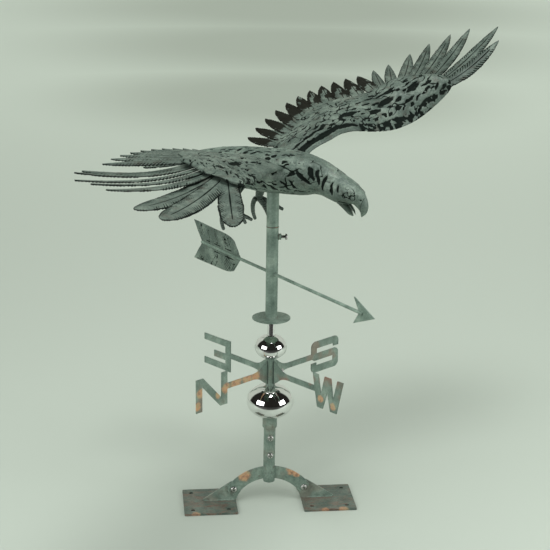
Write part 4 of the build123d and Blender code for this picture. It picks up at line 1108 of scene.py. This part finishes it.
def stage_floor():
    """A wide pale floor, painted darker near the camera and to the left and paler far off and to the right, with a
    painted soft shadow far behind, and painted nearly black on the camera's side in reflections.
    """
    g = Graph("studio_floor_paint_with_painted_light")
    drift = g.noise(900, 3, 0.5)
    # Painted shadow: three soft spots far behind the object darken the floor.
    shade = g.near(((470, 4100, 0, 1300), (780, 6000, 0, 1900), (1050, 8200, 0, 2500)))
    split = g.add("ShaderNodeSeparateXYZ", {0: g.place})
    # Painted light: the floor is painted darker near the camera and to the left, and paler far behind and to the
    # right.
    depth = g.step(split.outputs["Y"], -2.0, 5.0, 0.0, 0.92)
    painted_light_to_right = g.step(split.outputs["X"], -1.0, 1.4, 0.0, 0.16)
    pale = g.mix(g.math("ADD", depth, painted_light_to_right), (0.332, 0.380, 0.329, 1.0), (0.790, 0.890, 0.775, 1.0))
    colour = g.mix(g.math("MULTIPLY", shade, 0.62), pale, (0.400, 0.455, 0.375, 1.0))
    # Painted reflection: seen in glossy reflections, the floor on the camera's side is painted nearly black, for a
    # dark room.
    toward = g.add("ShaderNodeVectorMath", {0: g.place, 1: -ahead_of_camera()}, operation="DOT_PRODUCT")
    mirrored = g.add("ShaderNodeLightPath").outputs["Is Glossy Ray"]
    painted_dark_reflection = g.math("MULTIPLY", g.step(toward.outputs["Value"], 0.30, 0.44), mirrored)
    colour = g.mix(painted_dark_reflection, colour, (0.02, 0.02, 0.018, 1.0))
    material = g.finish(colour, 0.75, 0.0, drift, 0.02, 1.0)
    points = [(0.0, 0.0, 0.0)]
    faces = []
    radii = (0.5, 1.5, 4.0, 9.0, 24.0)
    sides = 96
    for k, radius in enumerate(radii):
        for i in range(sides):
            a = 2 * math.pi * i / sides
            points.append((radius * math.cos(a), radius * math.sin(a), 0.0))
    for i in range(sides):
        faces.append((0, 1 + i, 1 + (i + 1) % sides))
    for k in range(len(radii) - 1):
        for i in range(sides):
            a, b = 1 + k * sides, 1 + (k + 1) * sides
            j = (i + 1) % sides
            faces.append((a + i, b + i, b + j, a + j))
    mesh = bpy.data.meshes.new("studio_floor")
    mesh.from_pydata(points, [], faces)
    mesh.materials.append(material)
    floor = bpy.data.objects.new("studio_floor", mesh)
    floor.location.z = -0.0004
    bpy.context.scene.collection.objects.link(floor)


def make_camera():
    data = bpy.data.cameras.new("camera")
    data.lens = CAMERA_LENS
    data.sensor_width = 36
    data.clip_end = 100
    camera = bpy.data.objects.new("camera", data)
    back = CAMERA_RIGHT.cross(CAMERA_UP).normalized()
    up = back.cross(CAMERA_RIGHT.normalized())
    basis = Matrix((CAMERA_RIGHT.normalized(), up, back)).transposed()
    camera.matrix_world = Matrix.Translation(CAMERA_PLACE) @ basis.to_4x4()
    bpy.context.scene.collection.objects.link(camera)
    bpy.context.scene.camera = camera


def soft_box(name, turn, distance, height, width, tall, power, aim=(0, 0, 0.35)):
    """A rectangular light, turned from the camera's side of the object."""
    data = bpy.data.lights.new(name, "AREA")
    data.shape = "RECTANGLE"
    data.size, data.size_y = width, tall
    data.energy = power
    light = bpy.data.objects.new(name, data)
    toward = math.atan2(CAMERA_PLACE.y, CAMERA_PLACE.x) + math.radians(turn)
    light.location = (distance * math.cos(toward), distance * math.sin(toward), height)
    light.rotation_euler = (Vector(aim) - light.location).to_track_quat("-Z", "Y").to_euler()
    light.visible_camera = False
    bpy.context.scene.collection.objects.link(light)


def make_lights():
    soft_box("soft_box_left", -50, 1.55, 0.75, 1.1, 0.85, 13)
    soft_box("soft_box_right", 64, 1.60, 0.75, 0.9, 0.85, 13)
    soft_box("top_light", 0, 0.35, 2.2, 0.5, 0.5, 14)
    data = bpy.data.lights.new("high_glow", "SUN")
    data.energy = 1.75
    data.angle = math.radians(75)
    glow = bpy.data.objects.new("high_glow", data)
    glow.rotation_euler = (math.radians(18), math.radians(-14), 0)
    glow.visible_glossy = False
    bpy.context.scene.collection.objects.link(glow)


def make_world():
    """Pale to the camera and behind the object; a dark room on the camera's side in reflections."""
    world = bpy.data.worlds.new("studio_air")
    world.use_nodes = True
    tree = world.node_tree
    tree.nodes.clear()
    place = tree.nodes.new("ShaderNodeTexCoord")
    facing = tree.nodes.new("ShaderNodeVectorMath")
    facing.operation = "DOT_PRODUCT"
    facing.inputs[1].default_value = ahead_of_camera()
    tree.links.new(place.outputs["Generated"], facing.inputs[0])
    behind = tree.nodes.new("ShaderNodeMapRange")
    behind.interpolation_type = "SMOOTHSTEP"
    behind.inputs["From Min"].default_value = 0.30
    behind.inputs["From Max"].default_value = 0.42
    tree.links.new(facing.outputs["Value"], behind.inputs["Value"])
    room = tree.nodes.new("ShaderNodeMix")
    room.data_type = "RGBA"
    room.inputs[6].default_value = (0.018, 0.017, 0.015, 1.0)
    room.inputs[7].default_value = (0.53, 0.575, 0.50, 1.0)
    tree.links.new(behind.outputs[0], room.inputs[0])
    seen = tree.nodes.new("ShaderNodeLightPath")
    final = tree.nodes.new("ShaderNodeMix")
    final.data_type = "RGBA"
    final.inputs[7].default_value = (0.545, 0.590, 0.515, 1.0)
    tree.links.new(seen.outputs["Is Camera Ray"], final.inputs[0])
    tree.links.new(room.outputs[2], final.inputs[6])
    sky = tree.nodes.new("ShaderNodeBackground")
    tree.links.new(final.outputs[2], sky.inputs["Color"])
    out = tree.nodes.new("ShaderNodeOutputWorld")
    tree.links.new(sky.outputs[0], out.inputs["Surface"])
    bpy.context.scene.world = world


# ---------------------------------------------------------------- everything together

N_HEADING = COMPASS_SOUTH_HEADING + 180
W_HEADING = COMPASS_SOUTH_HEADING - 90
hub_z = sum(c[2] for c in box_mm(("hub_tube",), 0)) / 2

bird_paint = patina_bird("verdigris_bird_paint", tint=1.14)
wing_paint = patina_bird("verdigris_wing_paint", brown=0.45, tint=0.92)
feather_paint = patina_bird("verdigris_feather_paint", brown=0.45, tint=0.86)
secondary_paint = patina_bird("sooty_feather_paint", brown=0.6, tint=0.9, recess_and_shade_colour=SOOTY_BROWN)
claw_paint = patina_bird("claw_paint", brown=0.5, tint=0.8)
fletching_paint = patina_bird("fletching_paint", brown=0.2, tint=1.15)

arch_top = box_mm(("arch_plate",), 0)[1][2]
base_paint = patina_sheet("base_paint", stain=0.5, copper=0.75, rosy=0.25, tint=1.2, worn=[
    (-41, 0, arch_top - 15, 19), (37, -1, arch_top - 8, 15), (46, -1, arch_top - 14, 12)])
plate_paint = patina_sheet("plate_paint", stain=0.5, copper=0.5, rosy=0.1, tint=0.66, streaks=0.7, worn=[
    (-122, -44, 3, 12), (118, -45, 3, 14), (88, -45, 3, 12)])
tube_paint = patina_sheet("tube_paint", stain=0.12, tint=1.40)
arm_paint = patina_sheet("arm_paint", stain=0.3, copper=0.78, rosy=0.5, tint=1.3, worn=[
    (*along_arm(N_HEADING, 34, hub_z), 17), (*along_arm(N_HEADING, 52, hub_z), 19),
    (*along_arm(N_HEADING, 76, hub_z), 21), (*along_arm(N_HEADING, 97, hub_z - 3), 16),
    (*along_arm(N_HEADING, 113, hub_z - 10), 11), (*along_arm(N_HEADING, 150, hub_z + 2), 14),
    (*along_arm(N_HEADING, 156, hub_z - 18), 13)])
west_paint = patina_sheet("west_arm_paint", stain=0.3, copper=0.7, rosy=0.9, tint=1.2, worn=[
    (*along_arm(W_HEADING, 112, hub_z - 14), 11), (*along_arm(W_HEADING, 138, hub_z - 19), 11)])
chrome = polished_steel("polished_ball_chrome")
bright_bar = polished_steel("bright_bar_steel", rough=0.15, smudge=0.10, brushed=0.04)
weld_paint = patina_sheet("weld_paint", stain=0.6, tint=0.5)
zinc = zinc_plate("zinc_hardware")

paint(("arch_plate", "left_foot_lug", "right_foot_lug", "socket_tube", "socket_nuts", "ball_collar"), base_paint)
paint(("left_foot_plate", "right_foot_plate"), plate_paint)
paint(("vane_tube", "drip_disc", "post_tube", "post_nut", "hub_nut", "arrow_shaft", "arrow_head"), tube_paint)
paint(("hub_tube", "north_arm", "east_arm", "south_arm"), arm_paint)
paint(("west_arm",), west_paint)
paint(("large_ball", "small_ball"), chrome)
paint(("mast_rod", "post_spigot", "pivot_ball"), bright_bar)
paint(("pivot_bolts", "pivot_washers", "pivot_nuts", "socket_screw_upper", "socket_screw_lower",
       "hub_set_screw", "post_set_screw"), zinc)
paint(("lower_bush", "pivot_cap"), bush_brass("bush_brass"))
paint(("joint_ring",), bare_copper("bare_copper"))
paint(("post_saddle",), tube_paint)

body_skin(bird_paint)
build_beak(bird_paint)
build_eyes(bird_paint)
wing_sheet("left_wing_sheet", "left_wing_shell", 1, wing_paint)
wing_sheet("right_wing_sheet", "right_wing_shell", -1, wing_paint, trough_share=0.25)
build_feathers(feather_paint, secondary_paint)
for side in ("left", "right"):
    cast_foot(f"{side}_foot_cast", f"{side}_leg", f"{side}_talons", claw_paint)
fletching(fletching_paint)
build_welds(base_paint, weld_paint)

stage_floor()
make_camera()
make_lights()
make_world()
bpy.context.scene.view_settings.view_transform = "Standard"
